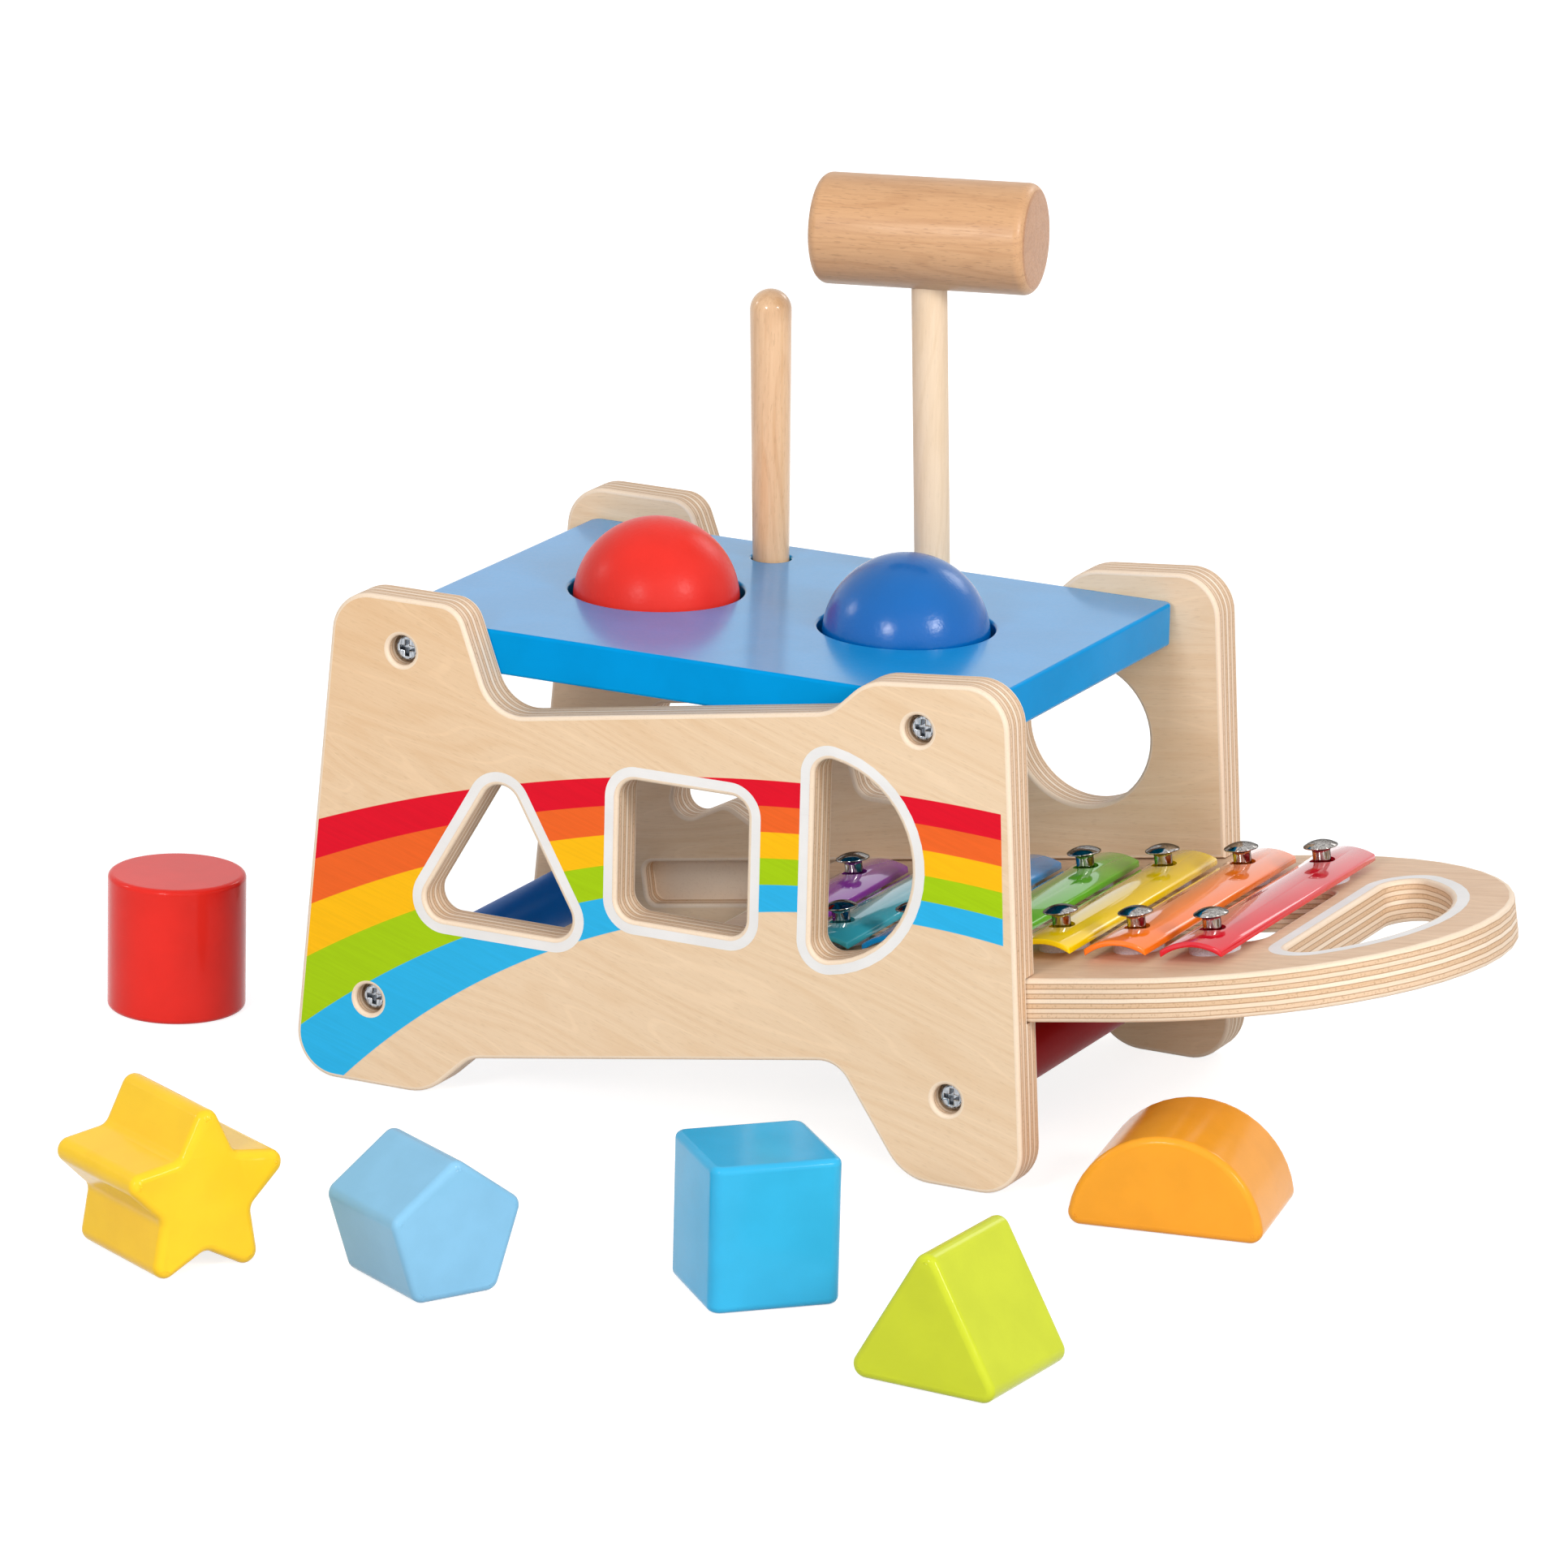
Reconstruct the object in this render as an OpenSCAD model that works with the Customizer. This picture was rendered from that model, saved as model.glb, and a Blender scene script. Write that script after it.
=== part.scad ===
// Ball pounding bench with a sloping pull-out xylophone and shape-sorter sides.
// Millimetres. The origin is on the floor under the middle of the plate.
// +X runs to the end where the xylophone comes out, +Y to the far side, +Z up.

/* [Bench] */
// Width over the outer faces of the two side panels
bench_w = 150; // [130:1:180]
// Thickness of the plywood of the panels and of the xylophone board
ply_t = 12; // [10:0.5:15]
// Slope of the xylophone, and of the arch and the dip of the panels, in degrees
slope = 9; // [6:0.5:12]

/* [Side panels] */
// Height of the panels to the tops of their left horns
panel_h = 140; // [132:0.5:165]
// How much higher the right horns' outer corners lie than the left horns' tops, before they are rounded
right_horn_lift = 0.6; // [0:0.1:3]
// How much lower the right horns' inner corners lie than their outer ones
right_horn_fall = 3.9; // [0:0.1:8]
// Reach of the left feet from the middle
left_foot_reach = 110.5; // [104:0.5:120]
// Reach of the right feet from the middle
right_foot_reach = 113; // [108:0.5:122]
// Reach of the left horns from the middle
left_horn_reach = 98.8; // [94:0.2:104]
// Reach of the right horns from the middle
right_horn_reach = 103.5; // [98:0.1:108]
// Width of a left foot on the floor
left_foot_w = 42; // [34:0.5:48]
// Width of a right foot on the floor
right_foot_w = 35.7; // [30:0.1:42]
// Width of a left horn along its top
left_horn_w = 37.9; // [32:0.1:44]
// Width of a right horn along its top
right_horn_w = 41.2; // [36:0.1:46]
// Run of the left foot's inner flank, from the floor to the arch
left_foot_flank = 13.3; // [10:0.1:18]
// Run of the right foot's inner flank, from the floor to the arch
right_foot_flank = 20.7; // [16:0.1:26]
// Run of the left horn's inner flank, from its top to the dip
left_horn_flank = 11.3; // [8:0.1:16]
// Run of the right horn's inner flank, from its top to the dip
right_horn_flank = 10.5; // [8:0.1:15]
// Height of the arch above the floor, at the middle
arch_h = 21; // [16:0.5:26]
// Depth of the dip below the left horns' tops, at the middle
dip_depth = 21.7; // [18:0.1:27]
// Radius of the outer corners of feet and horns
outer_corner_r = 12; // [6:0.5:15]
// Radius of the inner corner on top of a left horn
left_horn_r = 8; // [4:0.5:10]
// Radius of the inner corner on top of a right horn
right_horn_r = 15; // [6:0.5:20]
// Radius of the two hollow corners of the dip
dip_r = 12; // [6:0.5:15]
// Radius of the two hollow corners of the arch
arch_r = 9; // [5:0.5:11]
// Radius of the inner corners of the feet on the floor
foot_inner_r = 15; // [8:0.5:17]

/* [Shape sorter] */
// Room round the round block in its opening, on each side
round_room = 1.2; // [0.8:0.1:3]
// Room round the square block in its opening, on each side
square_room = 2; // [0.8:0.1:3]
// Room round the three-sided block in its opening, on each side
triangle_room = 2.4; // [0.8:0.1:3]
// Room round the half-round block in its opening, on each side
half_room = 1.5; // [0.8:0.1:3]
// Room round the five-sided block in its opening, on each side
pentagon_room = 1.5; // [0.8:0.1:3]
// Room round the star block in its opening, on each side
star_room = 1.5; // [0.8:0.1:3]
// Length of the blocks
block_len = 39.5; // [30:0.5:48]
// Length of the five-sided block
pentagon_block_len = 34; // [28:0.5:44]
// Radius of the upright edges of the blocks' outlines
block_r = 3.5; // [2:0.1:4.5]
// Diameter of the round block
round_block_d = 39.2; // [32:0.2:42]
// Side of the square block
square_block_w = 35.5; // [30:0.5:40]
// Side of the three-sided block, between its sharp corners
triangle_block_side = 45.7; // [40:0.1:52]
// Radius of the half-round block
half_block_r = 26.8; // [22:0.1:30]
// Radius of the five-sided block, to its sharp corners
pentagon_block_r = 20.8; // [18:0.1:25]
// Radius of the star block, to its sharp tips
star_block_r = 28.3; // [23:0.1:30]
// Height of the row of openings, as a share of the way from the arch up to the dip
opening_share = 0.586; // [0.54:0.002:0.63]
// Distance of the triangle and the star opening to the left of the middle
left_opening_x = 47; // [43:0.5:51]
// Distance of the square and the pentagon opening to the right of the middle
middle_opening_x = 8.8; // [4:0.2:12]
// Distance of the half-round opening's straight side to the right of the middle
half_opening_x = 47.7; // [45:0.1:52]
// Distance of the round opening to the right of the middle
round_opening_x = 64; // [58:0.5:68]
// How much the round opening sits above the row
round_opening_lift = 1.4; // [0:0.1:3]

/* [Top plate] */
// Length of the plate
plate_len = 181.5; // [170:0.5:190]
// Thickness of the plate
plate_t = 12.2; // [11:0.1:15]
// Height of the left horns above the plate's top
horn_rise = 8.6; // [5:0.1:14]
// Distance of each upper screw from the middle
top_screw_x = 78; // [74:0.5:80]

/* [Balls] */
// Diameter of the balls
ball_d = 46.5; // [42:0.5:50]
// Room round a ball in its hole
ball_room = 1.25; // [0.8:0.05:2]
// Depth of a ball's middle below the plate's top
ball_sink = 2.9; // [2:0.1:4]
// Distance of each ball from the middle
ball_x = 38.5; // [34:0.5:42]
// Diameter of the rubber of a grip ring
ring_d = 3.6; // [3:0.1:4]
// How far a ball has to stretch its ring to pass, on each side
ring_bite = 0.55; // [0.3:0.05:0.9]

/* [Mallet and beater] */
// Distance of the two standing holes from the plate's middle line, as a share of the bench's width
stick_hole_share = 0.32; // [0.29:0.005:0.35]
// Depth of the standing holes
stick_hole_depth = 10; // [8:0.5:11]
// Room round a stick in its hole
stick_room = 0.5; // [0.4:0.05:0.8]
// Diameter of the mallet's handle
handle_d = 10; // [8:0.5:12]
// Distance of the mallet from the middle, to the right
mallet_x = 23.7; // [20:0.1:28]
// Height of the mallet head's middle above the plate's top
head_h = 99.3; // [85:0.1:110]
// Diameter of the mallet's head
head_d = 31; // [26:0.5:36]
// Length of the mallet's head
head_len = 62; // [50:0.5:70]
// Diameter of the beater at its round top
beater_d = 11.8; // [10:0.2:14]
// Diameter of the beater at its foot
beater_foot_d = 10.2; // [9:0.2:12]
// Distance of the beater from the middle, to the left
beater_x = 26.8; // [22:0.2:30]
// Height of the beater above the plate's top
beater_h = 77.2; // [60:0.2:90]

/* [Crossbars] */
// Diameter of the crossbars
crossbar_d = 16; // [13:0.5:20]
// Height of the crossbars' axes
crossbar_h = 24.4; // [20:0.2:27]
// Distance of the left crossbar from the middle
left_crossbar_x = 87; // [83:0.5:92]
// Distance of the right crossbar from the middle
right_crossbar_x = 89.6; // [86:0.2:94]

/* [Xylophone] */
// Height of the board's middle layer, at the middle of the bench
board_h = 36.2; // [34:0.1:39]
// Depth of the grooves that the board slides in
groove_depth = 6; // [4:0.5:7]
// Distance of the grooves' closed ends from the middle, along the slope
groove_reach = 73; // [68:0.5:77]
// Distance of the board's inner end from the middle, as it stands pulled out
board_back = 12; // [6:0.5:20]
// Distance from the middle to where the board's round end begins
board_straight = 138.3; // [130:0.1:146]
// Length of the board's round end
board_end_len = 81.3; // [72:0.1:90]
// Distance from the middle to the straight side of the handle slot
slot_x = 171.8; // [168:0.2:176]
// Width of the handle slot
slot_w = 30.5; // [26:0.5:34]
// Radius of the handle slot's round side
slot_r = 46; // [42:0.5:50]
// Distance from the middle to the first and longest bar
first_bar_x = 152.7; // [148:0.1:154]
// Distance between the bars' middle lines
bar_pitch = 23.1; // [21:0.1:24]
// Width of the bars
bar_w = 18; // [15:0.5:19]
// Thickness of the bars
bar_t = 1.6; // [1.2:0.1:2.2]
// Rise of a bar's arch inside
bar_rise = 2.8; // [2:0.1:3.5]
// Distance of the first bar's nails from the middle line
nail_spread = 37.3; // [35:0.1:40]
// How much closer the nails of each next bar stand
nail_step = 1.8; // [1.2:0.1:2.2]
// Length of a bar beyond its nails
bar_overhang = 15.7; // [12:0.1:18]
// Diameter of the nails
nail_d = 5; // [4:0.2:5.6]
// Diameter of the nails' heads
nail_head_d = 9.6; // [8:0.2:11]
// Height of the underside of the nails' heads above the board
nail_stand = 9.4; // [8.6:0.1:11]
// Diameter of the felt washers
felt_d = 14; // [12:0.5:16]
// Height of the felt washers at their rims
felt_t = 3; // [2.5:0.1:4]

/* [Hidden] */

$fn = 96;
// Longest step along a rounded corner, in degrees
arc_step = 7.5;
// How far a cut runs past the face that it opens
overrun = 1;

// Fits
groove_room = 0.3;
board_side_room = 0.4;
rest_gap = 0.3;
ring_gap = 0.2;
ring_seat_room = 0.15;
screw_room = 0.15;
nail_room = 0.1;
felt_room = 0.1;
bar_hole_room = 1.1;
handle_fit = 0.05;

// Screws
screw_d = 3.6;
screw_head_d = 7;
screw_head_h = 2.8;
screw_reach = 26;
screw_recess_w = 1.1;
screw_recess_len = 4.4;
screw_recess_depth = 1.6;
counterbore_d = 8.4;
counterbore_depth = 6;

// Nails, mallet and plate details
nail_depth = 8.5;
nail_head_h = 2.4;
nail_rim_h = 0.6;
head_edge_r = 3;
handle_depth = 12;
plate_corner_r = 3;
groove_end_r = 3;
board_corner_r = 4;
slot_corner_r = 7;
sound_hole_r = 6;
// Distance of the sound opening from the nails' lines, and past the end bars' middle lines
sound_hole_inset = 9;
sound_hole_margin = 8.8;

// Places and turns, in degrees
mallet_lean = 1.4;
mallet_tip = 2.1;
mallet_turn = 9;
beater_lean = 1.5;
beater_tip = 0;
half_turn = 180;
full_turn = 360;
triangle_drop_share = 0.32;
star_drop_share = 0.09;
star_notch_share = 0.5;
// Places of the loose blocks' middles on the floor, as shares of the bench's width, and their turns
cylinder_place_shares = [-1.126, -0.261];
star_place_shares = [-0.417, -1.505];
star_turn = 61.5;
pentagon_place_shares = [0.035, -1.412];
pentagon_turn = 60.4;
square_place_shares = [0.553, -1.165];
square_turn = 44.5;
triangle_place_shares = [1.036, -1.362];
triangle_turn = -3.8;
half_place_shares = [1.025, -0.417];
half_turn_on_floor = 10.3;

// Worked-out sizes
half_w = bench_w / 2;
inner_w = bench_w - 2 * ply_t;
right_horn_top = panel_h + right_horn_lift;
opening_h = arch_h + (panel_h - dip_depth - arch_h) * opening_share;
stick_hole_y = bench_w * stick_hole_share;
plate_top = panel_h - horn_rise;
plate_mid = plate_top - plate_t / 2;
ball_r = ball_d / 2;
ball_hole_r = ball_r + ball_room;
ball_z = plate_top - ball_sink;
ring_r = ball_r - ring_bite + ring_d / 2;
ring_z = ball_z - sqrt(pow(ball_r + ring_d / 2 + ring_gap, 2) - pow(ring_r, 2));
board_half_w = inner_w / 2 + groove_depth - board_side_room;
bar_count = 7;
bar_inner_r = (pow(bar_w / 2, 2) + pow(bar_rise, 2)) / (2 * bar_rise);
bar_axis_z = ply_t / 2 + felt_t - sqrt(pow(bar_inner_r, 2) - pow(felt_d / 2, 2));
nail_dome_h = nail_head_h - nail_rim_h;
nail_dome_r = (pow(nail_head_d / 2, 2) + pow(nail_dome_h, 2)) / (2 * nail_dome_h);
stick_floor = plate_top - stick_hole_depth;
screw_places = [
    [-top_screw_x, plate_mid],
    [top_screw_x, plate_mid],
    [-left_crossbar_x, crossbar_h],
    [right_crossbar_x, crossbar_h]
];

// Height gained along the slope, at a distance from the middle
function rise(x) = x * tan(slope);
function dip_at(x) = panel_h - dip_depth + rise(x);
function arch_at(x) = arch_h + rise(x);

// Points of an arc about c, without its last one
function arc(c, r, from, to) =
    let (steps = max(1, ceil(abs(to - from) / arc_step)))
    [for (i = [0 : steps - 1]) let (a = from + (to - from) * i / steps) c + r * [cos(a), sin(a)]];

function unit(v) = v / norm(v);
function flat(p) = [p[0], p[1]];

// The arc that rounds corner q, given as [x, y, radius], between its neighbours p and s
function corner_arc(p, q, s) =
    let (
        a = unit(flat(p) - flat(q)),
        b = unit(flat(s) - flat(q)),
        half = acos(a * b) / 2,
        room = min(norm(flat(p) - flat(q)), norm(flat(s) - flat(q))) / 2,
        r = min(q[2], room * tan(half)),
        c = flat(q) + unit(a + b) * r / sin(half),
        start = flat(q) + a * r / tan(half) - c,
        from = atan2(start[1], start[0]),
        to = from + sign(a[1] * b[0] - a[0] * b[1]) * (half_turn - 2 * half)
    )
    concat(arc(c, r, from, to), [c + r * [cos(to), sin(to)]]);

// A closed outline through [x, y, radius] corners
function rounded(corners) =
    let (n = len(corners))
    [for (i = [0 : n - 1]) each corner_arc(corners[(i + n - 1) % n], corners[i], corners[(i + 1) % n])];

// A regular outline with its first corner on top
function regular(n, radius, r) =
    rounded([for (i = [0 : n - 1]) let (a = full_turn / 4 - full_turn * i / n) [radius * cos(a), radius * sin(a), r]]);

function star(radius, r) =
    rounded([for (i = [0 : 9])
        let (a = full_turn / 4 - full_turn * i / 10, q = i % 2 == 0 ? radius : radius * star_notch_share)
        [q * cos(a), q * sin(a), r]]);

// A part of a disc cut off by a straight side at x = chord, with rounded corners
function disc_part(radius, chord, r) =
    let (
        x = chord + r,
        y = sqrt(pow(radius - r, 2) - pow(x, 2)),
        a = atan2(y, x)
    )
    concat(
        arc([0, 0], radius, -a, a),
        arc([x, y], r, a, half_turn),
        arc([x, -y], r, half_turn, full_turn - a)
    );

// Radius of a regular outline whose sides stand off by room
function wider(n, radius, room) = radius + room / cos(half_turn / n);
// Distance of a star's sides from its middle
function star_side(radius) =
    let (a = full_turn / 10, k = star_notch_share)
    radius * k * sin(a) / sqrt(1 + k * k - 2 * k * cos(a));
function wider_star(radius, room) = radius * (1 + room / star_side(radius));
function triangle_r(side) = side / sqrt(3);

function lowest(outline) = min([for (p = outline) p[1]]);
function bar_u(i) = first_bar_x - (bar_count - 1 - i) * bar_pitch;
function nail_y(i) = nail_spread - (bar_count - 1 - i) * nail_step;

panel_outline = rounded([
    [-left_foot_reach, 0, outer_corner_r],
    [-left_horn_reach, panel_h, outer_corner_r],
    [-left_horn_reach + left_horn_w, panel_h, left_horn_r],
    let (x = -left_horn_reach + left_horn_w + left_horn_flank) [x, dip_at(x), dip_r],
    let (x = right_horn_reach - right_horn_w - right_horn_flank) [x, dip_at(x), dip_r],
    [right_horn_reach - right_horn_w, right_horn_top - right_horn_fall, right_horn_r],
    [right_horn_reach, right_horn_top, outer_corner_r],
    [right_foot_reach, 0, outer_corner_r],
    [right_foot_reach - right_foot_w, 0, foot_inner_r],
    let (x = right_foot_reach - right_foot_w - right_foot_flank) [x, arch_at(x), arch_r],
    let (x = -left_foot_reach + left_foot_w + left_foot_flank) [x, arch_at(x), arch_r],
    [-left_foot_reach + left_foot_w, 0, foot_inner_r]
]);

board_outline = concat(
    corner_arc([-board_back, 0], [-board_back, -board_half_w, board_corner_r], [board_straight, -board_half_w]),
    [for (i = [0 : half_turn / arc_step])
        let (a = i * arc_step - half_turn / 2)
        [board_straight + board_end_len * cos(a), board_half_w * sin(a)]],
    corner_arc([board_straight, board_half_w], [-board_back, board_half_w, board_corner_r], [-board_back, 0])
);

sound_hole = rounded([
    [bar_u(0) - sound_hole_margin, -nail_y(0) + sound_hole_inset, sound_hole_r],
    [first_bar_x + sound_hole_margin, -nail_spread + sound_hole_inset, sound_hole_r],
    [first_bar_x + sound_hole_margin, nail_spread - sound_hole_inset, sound_hole_r],
    [bar_u(0) - sound_hole_margin, nail_y(0) - sound_hole_inset, sound_hole_r]
]);

block_triangle = regular(3, triangle_r(triangle_block_side), block_r);
block_pentagon = regular(5, pentagon_block_r, block_r);
block_star = star(star_block_r, block_r);
block_half = disc_part(half_block_r, 0, block_r);

// Puts children on the board: +X up along the slope, z = 0 in the board's middle layer
module on_slope() {
    translate([0, 0, board_h])
        rotate([0, -slope, 0])
            children();
}

// Puts children at each screw of one side, with +Z out of the panel's outer face
module at_screws(side) {
    for (p = screw_places)
        translate([p[0], side * half_w, p[1]])
            rotate([-side * full_turn / 4, 0, 0])
                children();
}

module screw_bore() {
    translate([0, 0, -counterbore_depth])
        cylinder(d = counterbore_d, h = counterbore_depth + overrun);
    translate([0, 0, -counterbore_depth - screw_reach - rest_gap])
        cylinder(d = screw_d + 2 * screw_room, h = screw_reach + counterbore_depth);
}

module screw() {
    difference() {
        union() {
            translate([0, 0, -counterbore_depth])
                cylinder(d = screw_head_d, h = screw_head_h);
            translate([0, 0, -counterbore_depth - screw_reach])
                cylinder(d = screw_d, h = screw_reach + screw_head_h / 2);
        }
        for (turn = [0, full_turn / 4])
            rotate(turn)
                translate([-screw_recess_len / 2, -screw_recess_w / 2, screw_head_h - counterbore_depth - screw_recess_depth])
                    cube([screw_recess_len, screw_recess_w, screw_recess_depth + overrun]);
    }
}

// A side panel whose outer face lies at y = side * half_w; children are the openings' outlines
module side_panel(side) {
    difference() {
        translate([0, side > 0 ? half_w : ply_t - half_w, 0])
            rotate([full_turn / 4, 0, 0])
                linear_extrude(ply_t)
                    difference() {
                        polygon(panel_outline);
                        children();
                    }
        board_groove(side);
        at_screws(side) screw_bore();
    }
}

// The groove that one edge of the board slides in, open at the right end
module board_groove(side) {
    groove_h = ply_t + 2 * groove_room;
    groove_len = groove_reach + board_straight + board_end_len;
    groove = rounded([
        [0, -groove_h / 2, groove_end_r],
        [groove_len, -groove_h / 2, 0],
        [groove_len, groove_h / 2, 0],
        [0, groove_h / 2, groove_end_r]
    ]);
    on_slope()
        translate([-groove_reach, side > 0 ? inner_w / 2 + groove_depth : overrun - inner_w / 2, 0])
            rotate([full_turn / 4, 0, 0])
                linear_extrude(groove_depth + overrun)
                    polygon(groove);
}

module near_side_panel() {
    r = triangle_r(triangle_block_side);
    color("burlywood")
        side_panel(-1) {
            translate([-left_opening_x, opening_h + rise(-left_opening_x) - r * triangle_drop_share / 2])
                polygon(regular(3, wider(3, r, triangle_room), block_r + triangle_room));
            translate([middle_opening_x, opening_h + rise(middle_opening_x)])
                rotate(full_turn / 8)
                    polygon(regular(4, wider(4, square_block_w / sqrt(2), square_room), block_r + square_room));
            translate([half_opening_x + half_room, opening_h + rise(half_opening_x)])
                polygon(disc_part(half_block_r + half_room, -half_room, block_r + half_room));
        }
}

module far_side_panel() {
    color("burlywood")
        side_panel(1) {
            translate([-left_opening_x, opening_h + rise(-left_opening_x) - star_block_r * star_drop_share])
                polygon(star(wider_star(star_block_r, star_room), block_r + star_room));
            translate([middle_opening_x, opening_h + rise(middle_opening_x)])
                polygon(regular(5, wider(5, pentagon_block_r, pentagon_room), block_r + pentagon_room));
            translate([round_opening_x, opening_h + rise(round_opening_x) + round_opening_lift])
                circle(d = round_block_d + 2 * round_room);
        }
}

module top_plate() {
    x = plate_len / 2;
    y = inner_w / 2;
    outline = rounded([
        [-x, -y, plate_corner_r],
        [x, -y, plate_corner_r],
        [x, y, plate_corner_r],
        [-x, y, plate_corner_r]
    ]);
    color("deepskyblue")
        difference() {
            translate([0, 0, plate_top - plate_t])
                linear_extrude(plate_t)
                    polygon(outline);
            for (place = [-ball_x, ball_x])
                translate([place, 0, plate_top - plate_t - overrun])
                    cylinder(r = ball_hole_r, h = plate_t + 2 * overrun);
            for (place = [-ball_x, ball_x])
                translate([place, 0, ring_z])
                    grip_ring(ring_d + 2 * ring_seat_room);
            translate([mallet_x, stick_hole_y, stick_floor])
                cylinder(d = handle_d + 2 * stick_room, h = stick_hole_depth + overrun);
            translate([-beater_x, stick_hole_y, stick_floor])
                cylinder(d = beater_foot_d + 2 * stick_room, h = stick_hole_depth + overrun);
            for (side = [-1, 1])
                at_screws(side) screw_bore();
        }
}

module grip_ring(d) {
    rotate_extrude()
        translate([ring_r, 0])
            circle(d = d);
}

module left_grip_ring() {
    color("black")
        translate([-ball_x, 0, ring_z])
            grip_ring(ring_d);
}

module right_grip_ring() {
    color("black")
        translate([ball_x, 0, ring_z])
            grip_ring(ring_d);
}

module crossbar(x) {
    difference() {
        translate([x, inner_w / 2, crossbar_h])
            rotate([full_turn / 4, 0, 0])
                cylinder(d = crossbar_d, h = inner_w);
        for (side = [-1, 1])
            at_screws(side) screw_bore();
    }
}

module left_crossbar() {
    color("mediumblue") crossbar(-left_crossbar_x);
}

module right_crossbar() {
    color("firebrick") crossbar(right_crossbar_x);
}

module panel_screws() {
    color("silver")
        for (side = [-1, 1])
            at_screws(side) screw();
}

// Puts children at both nails of every bar, with z = 0 on the board's top
module at_nails() {
    on_slope()
        for (i = [0 : bar_count - 1], side = [-1, 1])
            translate([bar_u(i), side * nail_y(i), ply_t / 2])
                children();
}

module xylophone_board() {
    color("burlywood")
        difference() {
            on_slope()
                linear_extrude(ply_t, center = true)
                    difference() {
                        polygon(board_outline);
                        polygon(sound_hole);
                        translate([slot_x + slot_w - slot_r, 0])
                            polygon(disc_part(slot_r, slot_r - slot_w, slot_corner_r));
                    }
            at_nails()
                translate([0, 0, -nail_depth - rest_gap])
                    cylinder(d = nail_d + 2 * nail_room, h = nail_depth + rest_gap + overrun);
        }
}

// One arched sound bar, counted from the shortest
module sound_bar(i) {
    bar_outer_r = bar_inner_r + bar_t;
    bar_half_len = nail_y(i) + bar_overhang;
    on_slope()
        translate([bar_u(i), 0, bar_axis_z])
            difference() {
                rotate([full_turn / 4, 0, 0])
                    linear_extrude(2 * bar_half_len, center = true)
                        intersection() {
                            difference() {
                                circle(r = bar_outer_r);
                                circle(r = bar_inner_r);
                            }
                            translate([-bar_w / 2, 0])
                                square([bar_w, bar_outer_r + overrun]);
                        }
                for (side = [-1, 1])
                    translate([0, side * nail_y(i), 0])
                        cylinder(d = nail_d + 2 * bar_hole_room, h = bar_outer_r + overrun);
            }
}

module purple_bar() {
    color("darkorchid") sound_bar(0);
}

module teal_bar() {
    color("turquoise") sound_bar(1);
}

module blue_bar() {
    color("dodgerblue") sound_bar(2);
}

module green_bar() {
    color("limegreen") sound_bar(3);
}

module yellow_bar() {
    color("gold") sound_bar(4);
}

module orange_bar() {
    color("darkorange") sound_bar(5);
}

module red_bar() {
    color("crimson") sound_bar(6);
}

module bar_nails() {
    color("gainsboro")
        at_nails() {
            translate([0, 0, -nail_depth])
                cylinder(d = nail_d, h = nail_depth + nail_stand + nail_rim_h);
            translate([0, 0, nail_stand])
                intersection() {
                    cylinder(d = nail_head_d, h = nail_head_h);
                    translate([0, 0, nail_head_h - nail_dome_r])
                        sphere(r = nail_dome_r);
                }
        }
}

// Felt washers, domed on top to the arch of the bars
module felt_washers() {
    color("white")
        at_nails()
            difference() {
                intersection() {
                    cylinder(d = felt_d, h = felt_t + bar_rise);
                    translate([0, 0, bar_axis_z - ply_t / 2])
                        rotate([full_turn / 4, 0, 0])
                            cylinder(r = bar_inner_r - felt_room, h = felt_d + 2 * overrun, center = true);
                }
                translate([0, 0, -overrun])
                    cylinder(d = nail_d + 2 * nail_room, h = felt_t + bar_rise + 2 * overrun);
            }
}

module red_ball() {
    color("tomato")
        translate([-ball_x, 0, ball_z])
            sphere(d = ball_d);
}

module blue_ball() {
    color("royalblue")
        translate([ball_x, 0, ball_z])
            sphere(d = ball_d);
}

// Stands children in a standing hole, leaning to the left and to the front about the hole's middle
module standing(x, d, lean, tip) {
    translate([x, stick_hole_y, stick_floor + stick_hole_depth / 2])
        rotate([tip, -lean, 0])
            translate([0, 0, rest_gap + d / 2 * sin(lean + tip) - stick_hole_depth / 2])
                children();
}

module mallet_head() {
    middle = stick_hole_depth + head_h;
    color("tan")
        standing(mallet_x, handle_d, mallet_lean, mallet_tip)
            difference() {
                translate([0, 0, middle])
                    rotate([0, 0, mallet_turn])
                        rotate([0, full_turn / 4, 0])
                            round_ended(head_d / 2, head_len, head_edge_r);
                translate([0, 0, middle - head_d])
                    cylinder(d = handle_d + 2 * handle_fit, h = head_d / 2 + handle_depth);
            }
}

// A cylinder about its own middle, with rounded end edges
module round_ended(r, len, edge) {
    rotate_extrude()
        translate([0, -len / 2])
            union() {
                square([r - edge, len]);
                translate([0, edge])
                    square([r, len - 2 * edge]);
                for (end = [edge, len - edge])
                    translate([r - edge, end])
                        circle(r = edge);
            }
}

module mallet_handle() {
    color("wheat")
        standing(mallet_x, handle_d, mallet_lean, mallet_tip)
            cylinder(d = handle_d, h = stick_hole_depth + head_h - head_d / 2 + handle_depth - rest_gap);
}

module beater_stick() {
    len = stick_hole_depth + beater_h - rest_gap;
    color("tan")
        standing(-beater_x, beater_foot_d, beater_lean, beater_tip) {
            cylinder(d1 = beater_foot_d, d2 = beater_d, h = len - beater_d / 2);
            translate([0, 0, len - beater_d / 2])
                sphere(d = beater_d);
        }
}

// Puts an upright block on the floor
module on_floor(place_shares, turn) {
    translate([place_shares[0] * bench_w, place_shares[1] * bench_w, 0])
        rotate(turn)
            children();
}

// A block that lies on the floor with its outline upright
module lying_block(outline, len) {
    translate([0, len / 2, -lowest(outline)])
        rotate([full_turn / 4, 0, 0])
            linear_extrude(len)
                polygon(outline);
}

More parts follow.
